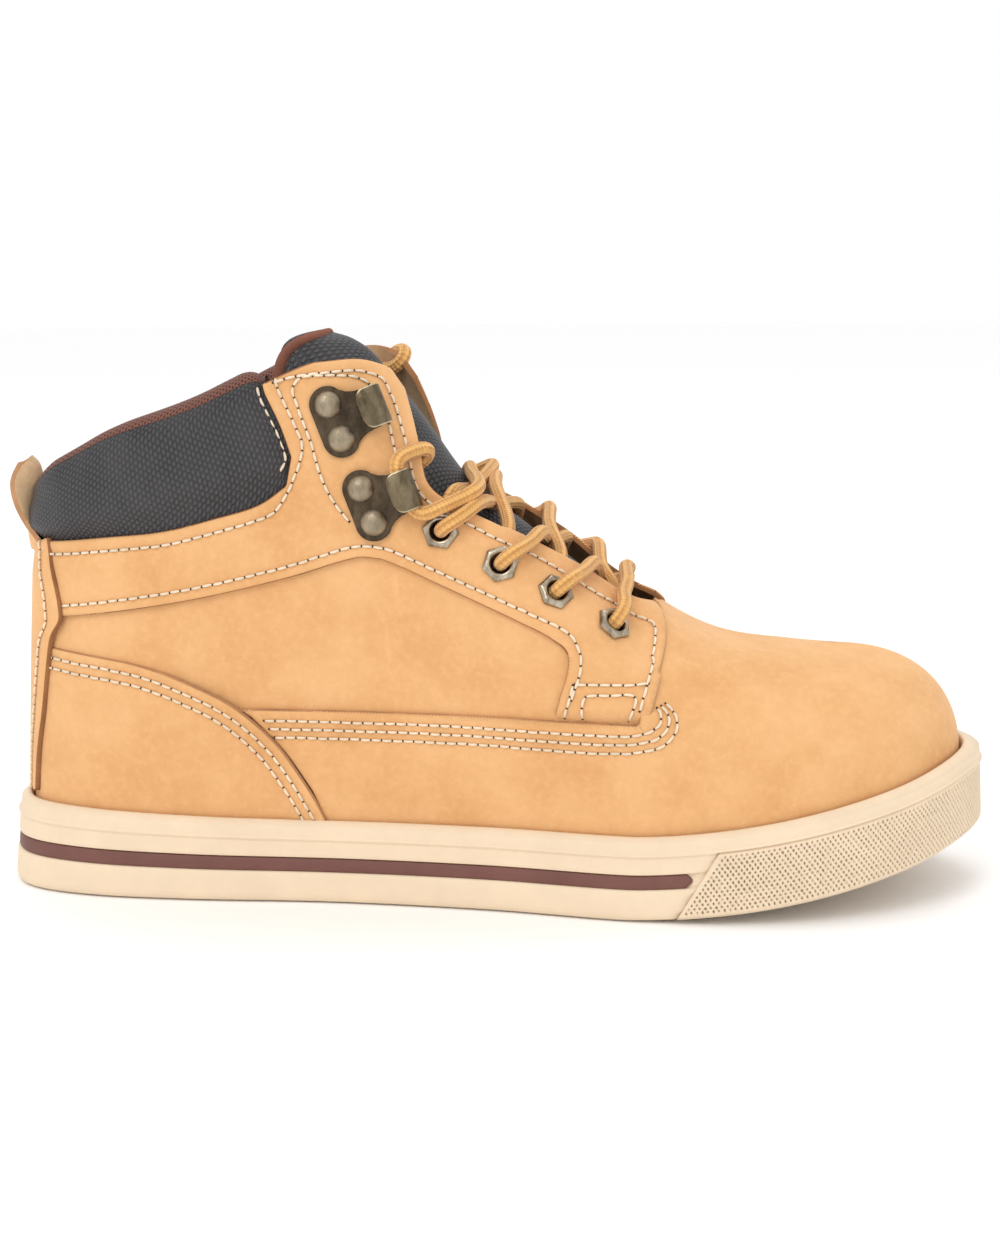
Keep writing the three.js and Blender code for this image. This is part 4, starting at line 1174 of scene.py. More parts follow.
build_vamp()
for side_name, side_sign in SIDES.items():
    build_quarter(side_name, side_sign)
    build_eyestay(side_name, side_sign)
    build_counter(side_name, side_sign)


# ---- collar, linings, back strip and pull tab ----
def signed_path(points, side):
    """A line whose stations are negative on the medial side, so that both meet at the heel."""
    path = trace(points, side)
    if side > 0:
        path[:, 0] -= STATIONS
    return path


HEEL_PAD_RISE = 5.2


def heel_raised(points, share):
    """The pad's top stands higher towards the heel."""
    points = np.array(points, float)
    x = points[:, 0]
    rise = HEEL_PAD_RISE * smoothstep(-78, -116, x) * (1 - 0.55 * smoothstep(-128, -141, x))
    points[:, 2] += rise * smoothstep(0.1, 1, share)
    return points


PAD_COLUMNS = 420
PAD_OUTER_ROWS = 26
PAD_ROLL_ROWS = 12
PAD_INNER_ROWS = 20
PAD_INSIDE = -7.0  # the padding's inner face, from the reference surface


def pad_grid():
    """The collar pad's points, in columns from one front edge round the heel to the other."""
    place = np.linspace(-1, 1, PAD_COLUMNS)
    size = np.abs(place)
    lateral = place >= 0
    fronts = []
    lows = []
    for side in SIDES.values():
        s, v = locate(spline([[-57.5, 120]] + PAD_FRONT[:3], 1.0), side)
        order = np.argsort(v)
        fronts.append((v[order], fold(s)[order]))
        s, v = locate(spline(PAD_BOTTOM[:6], 1.0), side)
        s = fold(s)
        lows.append((s[s > 0.05], v[s > 0.05]))

    def by_side(tables, at):
        return np.where(lateral, np.interp(at, *tables[0]), np.interp(at, *tables[1]))

    def stations_at(v):
        s = size * (by_side(fronts, v) + 0.03)
        return np.mod(np.where(lateral, s, STATIONS - s), STATIONS)

    from_front = (1 - size) * 4.1 * 40
    end = np.sqrt(clamp01(1 - (1 - clamp01((from_front - 2.6) / 9)) ** 2))
    # the lower front corner is rounded
    corner = clamp01(1 - from_front / 10)
    low = by_side(lows, size * by_side(fronts, np.full(PAD_COLUMNS, 0.76)))
    low = low + 0.07 * (1 - np.sqrt(np.maximum(0, 1 - corner**2))) - 0.008
    rows = []
    for t in np.linspace(0, 1, PAD_OUTER_ROWS):
        v = mix(low, 1.0, t)
        station = stations_at(v)
        base = surface(station, v)
        lift = smoothstep(0, 0.38, t) * (1 - 0.3 * smoothstep(0.55, 1.0, t))
        height = 0.7 + 4.6 * lift * (0.12 + 0.88 * end) + 0.35 * noise_field(base, 26, 9) * lift
        rows.append(heel_raised(base + outward(station, v) * height[:, None], t))
    # the top rolls inwards
    station = stations_at(np.ones(PAD_COLUMNS))
    rim = surface(station, 1.0)
    normal = outward(station, np.ones(PAD_COLUMNS))
    up = unit(rim - surface(station, 0.97))
    radius = (height - PAD_INSIDE) / 2
    centre = rim + normal * (height - radius)[:, None]
    for angle in np.linspace(0, math.pi, PAD_ROLL_ROWS + 1)[1:]:
        roll = normal * (radius * math.cos(angle))[:, None]
        roll = roll + up * (radius * 0.92 * math.sin(angle) * (0.25 + 0.75 * end))[:, None]
        rows.append(heel_raised(centre + roll, 1))
    for t in np.linspace(1, 0, PAD_INNER_ROWS)[1:]:
        v = mix(low, 1.0, t)
        height = PAD_INSIDE - math.sin(math.pi * t)
        rows.append(heel_raised(off(stations_at(v), v, np.full(PAD_COLUMNS, height)), t))
    return np.stack(rows, 1)


def build_collar():
    points = pad_grid()
    count = points.shape[1]
    across = lengths(points[PAD_COLUMNS // 3])
    along = lengths(points[:, PAD_OUTER_ROWS // 2])
    faces = tube_faces(PAD_COLUMNS, count, flip=True)
    uv = grid_uv(along, across)
    obj = new_object("collar_pad_look", points.reshape(-1, 3), faces, [PAD], uv=uv)
    show(obj, "boot", "collar_cover", "collar_pad")
    # the lining lies on the pad's inner half and a little over its top
    first = PAD_OUTER_ROWS + 1
    lining = points[:, first:, :]
    facing = unit(np.cross(np.gradient(lining, axis=0), np.gradient(lining, axis=1)))
    towards = lining.mean(axis=(0, 1)) - lining
    facing = facing * np.sign((facing * towards).sum(-1).mean())
    skin = lining + facing * 0.55
    skin[:, 0] = lining[:, 0] + facing[:, 0] * 0.1
    skin[:, 1] = lining[:, 1] + facing[:, 1] * 0.5
    n = skin.shape[1]
    verts = np.vstack([skin.reshape(-1, 3), (lining - facing * 0.3).reshape(-1, 3)])
    faces = np.vstack([grid_faces(PAD_COLUMNS, n, flip=True), grid_faces(PAD_COLUMNS, n) + PAD_COLUMNS * n])
    uv = np.tile(grid_uv(along, across[first:]), (2, 1))
    obj = new_object("collar_lining_look", verts, faces, [MESH], uv=uv)
    show(obj, "boot", "mesh_lining", "collar_lining")


def sew_pad_edge(side):
    """The row on the pad itself, right beside the eyestay's raw edge."""
    front = inset_line(PAD_FRONT, 1.5).tolist()
    sew_line([[-58.6, 130.0]] + front[:-2:6], side, lambda base: 2.1)


def build_shaft_lining():
    front = [[-46, 158], [-41, 140], [-29, 114], [-4, 94], [26, 77], [38, 63], [44, 48], [47.5, 22]]
    under_pad = np.vstack([shifted(mirrored(PAD_FRONT), 1.5, 0)[:-1], shifted(mirrored(PAD_BOTTOM), 0, 3)])
    left, right = (signed_path(front, side) for side in SIDES.values())
    low_left, low_right = (signed_path(under_pad, side) for side in SIDES.values())
    sole = along_sole(right[-1, 0], left[-1, 0])
    polygon = np.vstack([sole, left[::-1], low_left, low_right[::-1], right])
    obj = panel("shaft_lining_look", polygon, lambda base: -4.4, [MESH] * 3, 1.6, spacing=2.6)
    show(obj, "boot", "mesh_lining", "shaft_lining")


def heel_param(half, sign):
    """Stations and v of rear-view points [y, z] of the back strip."""
    half = spline(half, 1.0)
    v_line = np.linspace(0, 1, 200)
    v = np.interp(half[:, 1], surface(np.zeros(200), v_line)[:, 2], v_line)
    s_line = np.linspace(0, 2, 80)
    s = np.zeros(len(v))
    for k, row in enumerate(v):
        s[k] = np.interp(half[k, 0], np.abs(surface(s_line, np.full(80, row))[:, 1]), s_line)
    return np.stack([-sign * s, v], 1)


BACK_STRIP = [
    [13.4, 29], [14.4, 42], [16.0, 54], [17.2, 69], [17.9, 76.5], [19.3, 80.5],
    [19.1, 85], [18.2, 91], [16.6, 99], [15.4, 106],
]


def strip_top(base):
    return 4.0 - 0.7 * smoothstep(96, 106, base[..., 2])


def build_back_strip():
    inner = [[y - 2.6, z] for y, z in BACK_STRIP]
    grooves = [sew(heel_param(inner, side), strip_top, 3.0) for side in SIDES.values()]
    left, right = (heel_param(BACK_STRIP, side) for side in SIDES.values())
    polygon = np.vstack([right, left[::-1]])
    obj = panel("back_strip_look", polygon, strip_top, LEATHERS, 1.7, grooves=grooves, spacing=1.3)
    show(obj, "boot", "nubuck", "back_strip")


TAB_MIDDLE = [
    [-142.4, 104.5], [-142.8, 109], [-142.0, 115], [-140.9, 120.5],
    [-140.3, 125.6], [-141.0, 129.6], [-143.0, 131.8],
]
TAB_EDGE = [
    [-134.4, 104.5], [-137.8, 108.4], [-141.4, 112.4], [-144.3, 117.2],
    [-145.9, 122], [-146.1, 126.4], [-144.8, 130.2],
]


def build_pull_tab():
    middle = spline(TAB_MIDDLE, 0.8)
    share = np.linspace(0, 1, len(middle))
    edge = spline(TAB_EDGE, 0.8)
    edge = columns_at(edge, lengths(edge) / lengths(edge)[-1], share)
    half_widths = [15.3, 13.2, 11.2, 10.0, 8.8, 4.8]
    widths = np.interp(share, np.linspace(0, 1, len(half_widths)), half_widths)
    columns = 25
    verts = []
    for sign in (-1, 1):
        for c in np.linspace(-1, 1, columns):
            thin = 0.25 * max(0.0, abs(c) - 0.88) / 0.12
            line = beside(mix(middle, edge, c * c), sign * (1.0 - thin))
            verts.append(np.column_stack([line[:, 0], c * widths, line[:, 1]]))
    faces, walls = sheet_faces(columns, len(middle))
    marks = [0] * (len(faces) // 2) + [2] * (len(faces) // 2) + [1] * len(walls)
    obj = new_object("pull_tab_look", np.vstack(verts), faces + walls, [FLESH, TAB_RIM, NUBUCK], marks)
    turn_outward(obj)
    part_edges(obj, 0.9)
    show(obj, "pull_tab", "nubuck", "pull_tab")


build_collar()
for side_sign in SIDES.values():
    sew_pad_edge(side_sign)
build_shaft_lining()
build_back_strip()
build_pull_tab()


# ---- tongue ----
TONGUE_LINE = [
    [46, 80], [34, 87.5], [10, 105], [-9, 120], [-20.5, 136], [-28.0, 151], [-36.0, 163.6], [-47.0, 171.2],
]
TONGUE_HALF_WIDTH = 18.3
TONGUE_DEPTH = 6.9
TONGUE_SAG = 9.5 / 400
THROAT_HALF_WIDTH = 14.0
TONGUE_CROWN = 5.2
TONGUE_COLUMNS = 44


def tongue_skins():
    """The tongue's front and back skins as grids of points, and their UV."""
    line = spline(TONGUE_LINE, 1.3)
    run = lengths(line)
    share = run / run[-1]
    along = unit(np.gradient(line, axis=0))
    normal = np.stack([-along[:, 1], along[:, 0]], 1)
    normal = normal * np.sign(normal[len(normal) // 2, 0])
    normal = unit(mix(normal, np.array([1.0, 0.0]), 0.8 * smoothstep(0.72, 1, share)[:, None]))
    half = TONGUE_HALF_WIDTH * np.sqrt(1 - clamp01((share - 0.82) / 0.18) ** 2 * 0.5)
    across = np.sin(np.linspace(-1, 1, TONGUE_COLUMNS) * math.pi / 2)
    tip = smoothstep(0.94, 1.0, share)

    def skin(depth_of):
        rows = []
        for c in across:
            at = share * (1 - 0.075 * abs(c) ** 5)
            middle = columns_at(line, share, at)
            facing = unit(columns_at(normal, share, at))
            y = c * half
            sag = TONGUE_SAG * y * y * (1 + 3.8 * smoothstep(0.72, 1, share))
            between = 1 - np.minimum(1, np.abs(y) / (THROAT_HALF_WIDTH + 1)) ** 2.6
            crown = TONGUE_CROWN * between * smoothstep(0, 0.12, share) * smoothstep(0.86, 0.6, share)
            # the skins come together at the sides and the tip
            closing = 2.6 * (1 - (1 - abs(c) ** 6) * (1 - tip**2))
            middle = middle - facing * (sag - crown + depth_of(c, closing))[:, None]
            rows.append(np.column_stack([middle[:, 0], y, middle[:, 1]]))
        points = np.stack(rows, 0)
        points[..., 2] += medial_rise(points) * smoothstep(0.86, 0.7, share)
        return points

    def front_depth(c, closing):
        return closing - 1.3 * np.sin(np.pi * clamp01((share - 0.62) / 0.38)) * (1 - c * c)

    def back_depth(c, closing):
        return TONGUE_DEPTH - closing

    uv = grid_uv(np.cumsum(np.abs(np.gradient(across))) * 20, run)
    return skin(front_depth), skin(back_depth), np.tile(uv, (2, 1))


def build_tongue():
    front, back, uv = tongue_skins()
    n = front.shape[1]
    faces, walls = sheet_faces(TONGUE_COLUMNS, n)
    marks = [0] * len(faces) + [1] * len(walls)

    def layer(part, from_share, to_share, look, slot, rim=None):
        """The part of the tongue between two shares of its depth."""
        verts = np.vstack([mix(front, back, t).reshape(-1, 3) for t in (from_share, to_share)])
        obj = new_object(f"{part}_look", verts, faces + walls, [look, rim or look], marks, uv)
        turn_outward(obj)
        return show(obj, "tongue", slot, part)

    layer("tongue_cover", 0, 0.2, PAD, "collar_cover")
    foam = layer("tongue_foam", 0.2, 0.82, FOAM, "foam", PAD)
    layer("tongue_lining", 0.8, 1, MESH, "mesh_lining")
    # a binding runs up each side and sinks into the padding at the tip
    between = mix(front, back, 0.5)
    edge = np.vstack([between[0, n // 3 : -3], between[1:-1, -3], between[-1, n // 3 : -3][::-1]])
    edge = softened(resample(edge, 1.0), 2.0, 1.0)
    show(tube("tongue_binding", edge, 1.7, 12, [BINDING], flat=1.2), "tongue", "mesh_lining")


build_tongue()


# ---- sole ----
STRIPE_END = 62.3
BUMPER_START = 57.2
BUMPER_LEAN = 12.4  # the bumper's rear edge leans forward by this over its height
STRIPE_LOW = 0.37
STRIPE_HIGH = 0.56
BUMPER_HIGH = 0.78
RING_COUNT = 460
SOLE_S = np.linspace(0, STATIONS, RING_COUNT, endpoint=False)


def wall_z(x, share):
    return mix(sole_bottom(x), wall_top(x), share)


def lean_at(x):
    """How far the sidewall leans inwards over its height."""
    return TOP_INSET - 1.6 - 2 * clamp01((x - 60) / 80)


def wall_ring(stations, share, inset):
    xy = outline(stations, inset)
    return np.column_stack([xy, wall_z(xy[:, 0], share)])


def station_x(stations, reach=HALF_LENGTH):
    return -reach * np.cos(np.pi * fold(stations) / TOE)


def station_at(x):
    return TOE * math.acos(-x / HALF_LENGTH) / math.pi


def spine_of(stations, share):
    x = station_x(stations, 0.75 * HALF_LENGTH)
    return np.column_stack([x, ridge_y(x), wall_z(x, share)])


def tread_depth(points):
    """Grooves of the tread: chevrons across the sole, with a channel round the edge."""
    x, y = points[:, 0], points[:, 1]
    wave = np.mod(x + 0.45 * np.abs(y - ridge_y(x)), 11.0) / 11.0
    groove = smoothstep(0.5, 0.58, wave) * smoothstep(0.98, 0.9, wave)
    return 2.2 * groove


# each row: a share of the wall's height, and how far the wall stands out or in there
LINE_PROFILE = [(0.822, 0.0), (0.812, 0.35), (0.8, 0.55), (0.788, 0.55), (0.776, 0.35), (0.766, 0.0)]
STRIPE_SLOT = [
    (0.562, 0.15), (0.556, 0.9), (0.55, 1.35), (0.47, 1.4), (0.385, 1.4), (0.378, 0.9), (0.37, 0.15),
]
LOWER_EDGE = [
    (0.35, 0), (0.28, 0), (0.2, 0), (0.12, 0.05), (0.07, 0.2), (0.03, 0.6), (0.008, 1.3), (0.0, 2.2),
]
TREAD_STEPS = 34


def build_outsole():
    x = station_x(SOLE_S)
    lean = lean_at(x)
    striped = smoothstep(STRIPE_END + 1.2, STRIPE_END + 0.2, x)
    rings = []

    def add(share, inset):
        rings.append(wall_ring(SOLE_S, share, inset))

    def bumper(share):
        """The wall steps in behind the bumper."""
        edge = BUMPER_START + BUMPER_LEAN * share / BUMPER_HIGH
        return 1.6 * smoothstep(edge - 0.2, edge + 0.6, x)

    inner = TOP_INSET + 1.8
    floor_share = 0.45
    for share, inset in (
        (floor_share, inner + 0.3), (0.9, inner), (0.975, inner - 0.1), (0.993, inner - 0.35),
        (1.0, inner - 0.8), (0.995, TOP_INSET + 0.25), (0.975, TOP_INSET - 0.3),
    ):
        add(share, inset)
    for share in (0.94, 0.9, 0.86, 0.835):
        add(share, lean * share + 0.25 * smoothstep(0.8, 1, share))
    # a raised line runs round the wall above the stripe
    for share, out in LINE_PROFILE:
        add(share, lean * share - out + bumper(share) * (share < BUMPER_HIGH))
    for share in (0.74, 0.68, 0.62, 0.575):
        add(share, lean * share + bumper(share))
    for share, depth in STRIPE_SLOT:
        add(share, lean * share + bumper(share) + depth * striped)
    for share, extra in LOWER_EDGE:
        add(share, lean * share + extra + bumper(share))
    wall_count = len(rings)
    last = rings[-1]
    middle = spine_of(SOLE_S, 0.0)
    for t in np.linspace(0, 1, TREAD_STEPS + 1)[1:]:
        p = mix(last, middle, t)
        p[:, 2] = sole_bottom(p[:, 0])
        p[:, 2] += tread_depth(p) * smoothstep(0.06, 0.12, t) * smoothstep(1.0, 0.96, t)
        rings.append(p)
    points = np.stack([spine_of(SOLE_S, floor_share)] + rings)
    rows, columns = points.shape[:2]
    faces = grid_faces(rows, columns, close_columns=True, flip=True)
    marks = np.where(np.arange(len(faces)) // columns >= wall_count + 1, 1, 0)
    obj = new_object("outsole_look", points.reshape(-1, 3), faces, [SOLE, SOLE_DARK], marks)
    show(obj, "boot", "sole_rubber", "outsole")


def build_stripe():
    end = station_at(STRIPE_END)
    stations = np.linspace(-end, end, 320)
    x = station_x(stations)
    close = smoothstep(STRIPE_END, STRIPE_END - 1.5, x)
    low, high = STRIPE_LOW + 0.012, STRIPE_HIGH - 0.012
    middle = (low + high) / 2
    profile = [(low, 1.5), (low, 0.75), (low + 0.008, 0.5), (low + 0.02, 0.38)]
    profile += [(middle, 0.3)] + [(low + high - share, depth) for share, depth in profile[::-1]]
    rows = []
    for share, depth in profile:
        squeezed = mix(middle, share, 0.25 + 0.75 * np.sqrt(close))
        rows.append(wall_ring(stations, squeezed, lean_at(x) * share + depth + 0.7 * (1 - close)))
    points = np.stack(rows, 1)
    faces = tube_faces(*points.shape[:2])
    obj = new_object("sole_stripe_look", points.reshape(-1, 3), faces, [STRIPE])
    show(obj, "boot", "stripe_rubber", "sole_stripe")


STUD_PITCH = 1.6
STUD_SLANT = 0.72  # the rows are this much closer along the wall than across it
STUD_HEIGHT = 0.75
BUMPER_COLUMNS = 1300
BUMPER_ROWS = 74


def build_bumper():
    start = station_at(BUMPER_START)
    span = np.linspace(start, STATIONS - start, BUMPER_COLUMNS)
    arc = lengths(outline(span, 0))
    grid = []
    shaded_gaps = []
    for share in np.linspace(0.0, BUMPER_HIGH, BUMPER_ROWS):
        first = station_at(BUMPER_START + 0.6 + BUMPER_LEAN * share / BUMPER_HIGH)
        stations = mix(first, STATIONS - first, (span - start) / (STATIONS - 2 * start))
        x = station_x(stations)
        rise = wall_top(x) - sole_bottom(x)
        height = share * rise
        top_gap = (BUMPER_HIGH - share) * rise
        a = np.interp(stations, span, arc)
        rear_gap = np.minimum(np.abs(a - a[0]), np.abs(a[-1] - a))
        # bars slope down towards the toe, parted by rows of three-cornered notches
        p = np.mod((a + height * STUD_SLANT) / STUD_PITCH, 1)
        q = np.mod((a - height * STUD_SLANT) / STUD_PITCH, 1)
        stud = 1 - smoothstep(0.0, 0.3, np.abs(p - 0.5) * 2 - 0.4 - 0.6 * q)
        border = smoothstep(1.0, 1.6, top_gap) * smoothstep(1.0, 1.6, rear_gap) * smoothstep(0.8, 1.6, height)
        relief = mix(0.75, STUD_HEIGHT * stud, border)
        # the notches between the studs are marked for the painted shade
        shaded_gaps.append((stud < 0.45) & (border > 0.6))
        round_edge = 0.6 * smoothstep(0.5, 0.0, top_gap) + 1.2 * smoothstep(1.4, 0.0, height) ** 2
        inset = lean_at(x) * share + 0.75 - relief + round_edge
        grid.append(np.column_stack([outline(stations, inset), wall_z(x, share)]))

    def pulled_in(row):
        along = unit(np.gradient(row, axis=0))
        return row + 2.2 * np.column_stack([-along[:, 1], along[:, 0], np.zeros(len(row))])

    points = np.stack([pulled_in(grid[0])] + grid + [pulled_in(grid[-1])])
    n, m = points.shape[:2]
    faces = grid_faces(n, m, close_rows=True).tolist()
    faces += [[r * m + c for r in range(n)] for c in (0, m - 1)]
    # faces in the notches get the darker rubber, painted shade
    shaded_gaps = np.array(shaded_gaps, int)
    corners = shaded_gaps[:-1, :-1] + shaded_gaps[1:, :-1] + shaded_gaps[:-1, 1:] + shaded_gaps[1:, 1:]
    marks = np.zeros(len(faces), int)
    marks[m - 1 : m - 1 + corners.size] = (corners >= 2).ravel()
    obj = new_object("toe_bumper_look", points.reshape(-1, 3), faces, [SOLE, STUD_GAP_SHADE], marks)
    turn_outward(obj)
    show(obj, "boot", "sole_rubber", "toe_bumper")


# inset from the sole's outline, and height
FOOTBED_PROFILE = [
    (16.5, 19.6), (15.9, 21.5), (15.7, 24.5), (16.2, 26.2), (17.4, 26.6), (19.5, 25.4), (23, 24.2),
]


def build_footbed():
    stations = np.linspace(0, STATIONS, 200, endpoint=False)

    def level(points, height):
        return np.column_stack([points[:, :2], height + 0.8 * sole_bottom(points[:, 0])])

    middle = spine_of(stations, 0)
    rings = [level(middle, 19.6)]
    for inset, height in FOOTBED_PROFILE:
        rings.append(level(outline(stations, inset), height))
    last = rings[-1]
    for t in (0.25, 0.5, 0.75, 1.0):
        rings.append(level(mix(last, middle, t), mix(24.2, 23.6, t)))
    points = np.stack(rings)
    faces = grid_faces(*points.shape[:2], close_columns=True)
    uv = points[..., :2].reshape(-1, 2)
    obj = new_object("footbed_look", points.reshape(-1, 3), faces, [MESH], uv=uv)
    show(obj, "boot", "foam", "footbed")


build_outsole()
build_stripe()
build_bumper()
build_footbed()


# ---- eyelets, hooks and rivets ----
def place_on(point, side, offset, towards):
    """A frame on the surface: Z outward, X towards another side-view point."""
    s, v = locate([point, towards], side)
    normal = outward(s[:1], v[:1])[0]
    origin = off(s[:1], v[:1], np.array([offset]))[0]
    aim = surface(s[1:], v[1:])[0] - surface(s[:1], v[:1])[0]
    axis_x = unit(aim - normal * (aim @ normal))
    axis_y = np.cross(normal, axis_x)
    return np.stack([axis_x, axis_y, normal]), origin


def placed(points, place):
    axes, origin = place
    return np.asarray(points, float) @ axes + origin


EYELET_OFFSET = 2.5
EYELET_SIDES = 72
# radius, height and how six-sided it is there
EYELET_PROFILE = [
    (2.9, -3.4, 0), (2.9, 0.6, 0), (3.0, 1.0, 0), (3.25, 1.3, 0), (3.6, 1.42, 0.1), (4.2, 1.4, 0.6),
    (4.85, 1.2, 1), (5.4, 0.75, 1), (5.58, 0.5, 1), (5.6, 0.1, 1), (5.6, -0.2, 1),
]


def build_eyelet(name, point, side, spin):
    place = place_on(point, side, EYELET_OFFSET, [point[0] + 6, point[1] - 4])
    turn = turns(EYELET_SIDES)
    hexed = np.cos(np.pi / 6) / np.cos(np.mod(turn + spin, np.pi / 3) - np.pi / 6)
    rows = []
    for radius, z, shape in EYELET_PROFILE:
        r = radius * mix(1.0, hexed, shape)
        rows.append(np.column_stack([r * np.cos(turn), r * np.sin(turn), np.full(EYELET_SIDES, z)]))
    points = placed(np.concatenate(rows), place)
    faces = grid_faces(len(rows), EYELET_SIDES, close_columns=True, flip=True).tolist()
    # the bore is closed at its bottom by a dark face, painted shade down the eyelet
    marks = [0] * len(faces) + [1]
    faces.append(ring_of(EYELET_SIDES))
    obj = new_object(f"{name}_look", points, faces, [NICKEL, HOLE_SHADE], marks)
    part_edges(obj, 0.45)
    show(obj, "boot", "nickel", name)


RIVET_GAP = 5.3
LIP_HALF = 6.0
LIP_REACH = 12.5  # from the line of rivets to where the plate turns up
PLATE = 1.1

LIP_BEND = 2.9
LIP_CORNER = 3.2
# across and through the lip, as shares of its half width and of half its thickness
LIP_SECTION = [
    (-1, 0.55), (-0.94, 1), (0, 1), (0.94, 1), (1, 0.55),
    (1, -0.55), (0.94, -1), (0, -1), (-0.94, -1), (-1, -0.55),
]
LIP_HIGHLIT = (0, 3, 4, 5, 8, 9)  # the faces of the section that carry a painted highlight along the lip's edges
DOME_SIDES = 40
# radius, and height over the plate
DOME = [(0.02, 2.15), (0.9, 2.1), (1.9, 1.85), (2.8, 1.4), (3.5, 0.8), (3.9, 0.25), (4.0, 0.0), (4.0, -0.3)]


def hook_outline():
    """The flat plate: two lobes round the rivets, a waist and the wide end that curls up."""
    lobe = 5.5
    turn = np.radians(np.linspace(-50, -215, 18)[:15])
    low = np.column_stack([lobe * np.cos(turn), lobe * np.sin(turn) - RIVET_GAP])
    neck = np.array([[4.5, 8.3], [6.2, 7.1], [8.2, 6.4], [10.4, 6.1], [LIP_REACH, LIP_HALF]])
    half = np.vstack([low[::-1] * [1, -1], neck])
    return np.vstack([low, half, neck[::-1] * [1, -1]])


def hook_lip():
    """Rings of the plate's end, which turns up and back over itself."""
    centre_z = PLATE / 2 + LIP_BEND
    turn = np.radians(np.linspace(-90, 90, 15))
    bend = np.column_stack([LIP_REACH + LIP_BEND * np.cos(turn), centre_z + LIP_BEND * np.sin(turn)])
    back = np.linspace(0.8, 4.4, 7)
    path = np.vstack([bend, np.column_stack([LIP_REACH - back, centre_z + LIP_BEND + 0.09 * back**1.4])])
    from_end = lengths(path)[-1] - lengths(path)
    rounded = np.sqrt(np.maximum(0, LIP_CORNER**2 - (LIP_CORNER - from_end) ** 2))
    half = np.where(from_end < LIP_CORNER, LIP_HALF - LIP_CORNER + rounded, LIP_HALF)
    columns = []
    for across, depth in LIP_SECTION:
        line = beside(path, PLATE / 2 * depth)
        columns.append(np.column_stack([line[:, 0], across * half, line[:, 1]]))
    return np.stack(columns, 1)


def build_hook(name, middle, lip, side):
    place = place_on(middle, side, EYELET_OFFSET + 0.1, lip)
    shape = hook_outline()
    ids = ring_of(len(shape))
    rim = list(zip(ids, ids[1:] + ids[:1]))
    tri = geometry.delaunay_2d_cdt([Vector(p) for p in shape], rim, [], 1, 1e-5)
    flat = np.array([[p.x, p.y] for p in tri[0]])
    n = len(flat)
    rings = hook_lip()
    start = 2 * n
    verts = np.vstack([
        np.column_stack([flat, np.full(n, PLATE)]),
        np.column_stack([flat, np.zeros(n)]),
        rings.reshape(-1, 3),
    ])
    faces = [list(t) for t in tri[2]] + [[i + n for i in t][::-1] for t in tri[2]]
    faces += [[i, j, j + n, i + n] for i, j in rim]
    marks = [0] * len(faces)
    rows, columns = rings.shape[:2]
    faces += [[start + k for k in face] for face in tube_faces(rows, columns)]
    # the lip's edges and its free end get the painted highlight
    marks += [2 if k in LIP_HIGHLIT else 1 for k in range(columns)] * (rows - 1) + [1, 2]
    obj = new_object(f"{name}_look", placed(verts, place), faces, [BRASS, LIT_LIP_BRASS, LIP_HIGHLIGHT], marks)
    turn_outward(obj)
    with edited(obj) as bm:
        edges = [e for e in sharp_edges(bm, 1.0) if e.verts[0].index < start]
        bmesh.ops.bevel(bm, geom=edges, offset=0.22 * MM, segments=2, affect="EDGES", clamp_overlap=True)
    part_edges(obj, 0.75)
    show(obj, "boot", "antique_brass", name)
    return place


def build_rivet(name, y, place):
    turn = turns(DOME_SIDES)
    rows = []
    for r, z in DOME:
        height = np.full(DOME_SIDES, PLATE + z)
        rows.append(np.column_stack([r * np.cos(turn), y + r * np.sin(turn), height]))
    faces = grid_faces(len(rows), DOME_SIDES, close_columns=True).tolist() + [ring_of(DOME_SIDES)]
    obj = new_object(f"{name}_look", placed(np.concatenate(rows), place), faces, [RIVET])
    turn_outward(obj)
    show(obj, "boot", "antique_brass", name)


HEX_SPINS = [0.35, 0.75, 0.2, 0.6]
for side_name, side_sign in SIDES.items():
    for index, at in enumerate(EYELETS):
        build_eyelet(f"eyelet_{side_name}_{index + 1}", at, side_sign, HEX_SPINS[index])
    for index, hook in enumerate(HOOKS):
        centre = np.mean(hook["rivets"], axis=0).tolist()
        plate = build_hook(f"speed_hook_{side_name}_{index + 1}", centre, hook["lip"], side_sign)
        for extra, y in enumerate((-RIVET_GAP, RIVET_GAP)):
            build_rivet(f"rivet_{side_name}_{2 * index + extra + 1}", y, plate)


# ---- lace ----
LACE_OVER = 5.0  # above the reference surface, where the lace lies on the leather
LACE_UNDER = -2.2  # and where it passes behind the leather
THROAT_EDGE = spline(THROAT, 0.5)


def on_leather(point, side, height, inwards=0.0):
    """Off the leather at a side-view point, and moved along it to the middle of the throat."""
    s, v = locate([point], side)
    normal = outward(s, v)[0]
    inward = np.array([0.0, -side, 0.0])
    inward = unit(inward - normal * (inward @ normal))
    return off(s, v, np.array([height]))[0] + inward * inwards


def edge_at(x):
    """The throat's edge in the side view, above some x."""
    return np.array([x, np.interp(x, THROAT_EDGE[:, 0], THROAT_EDGE[:, 1])])


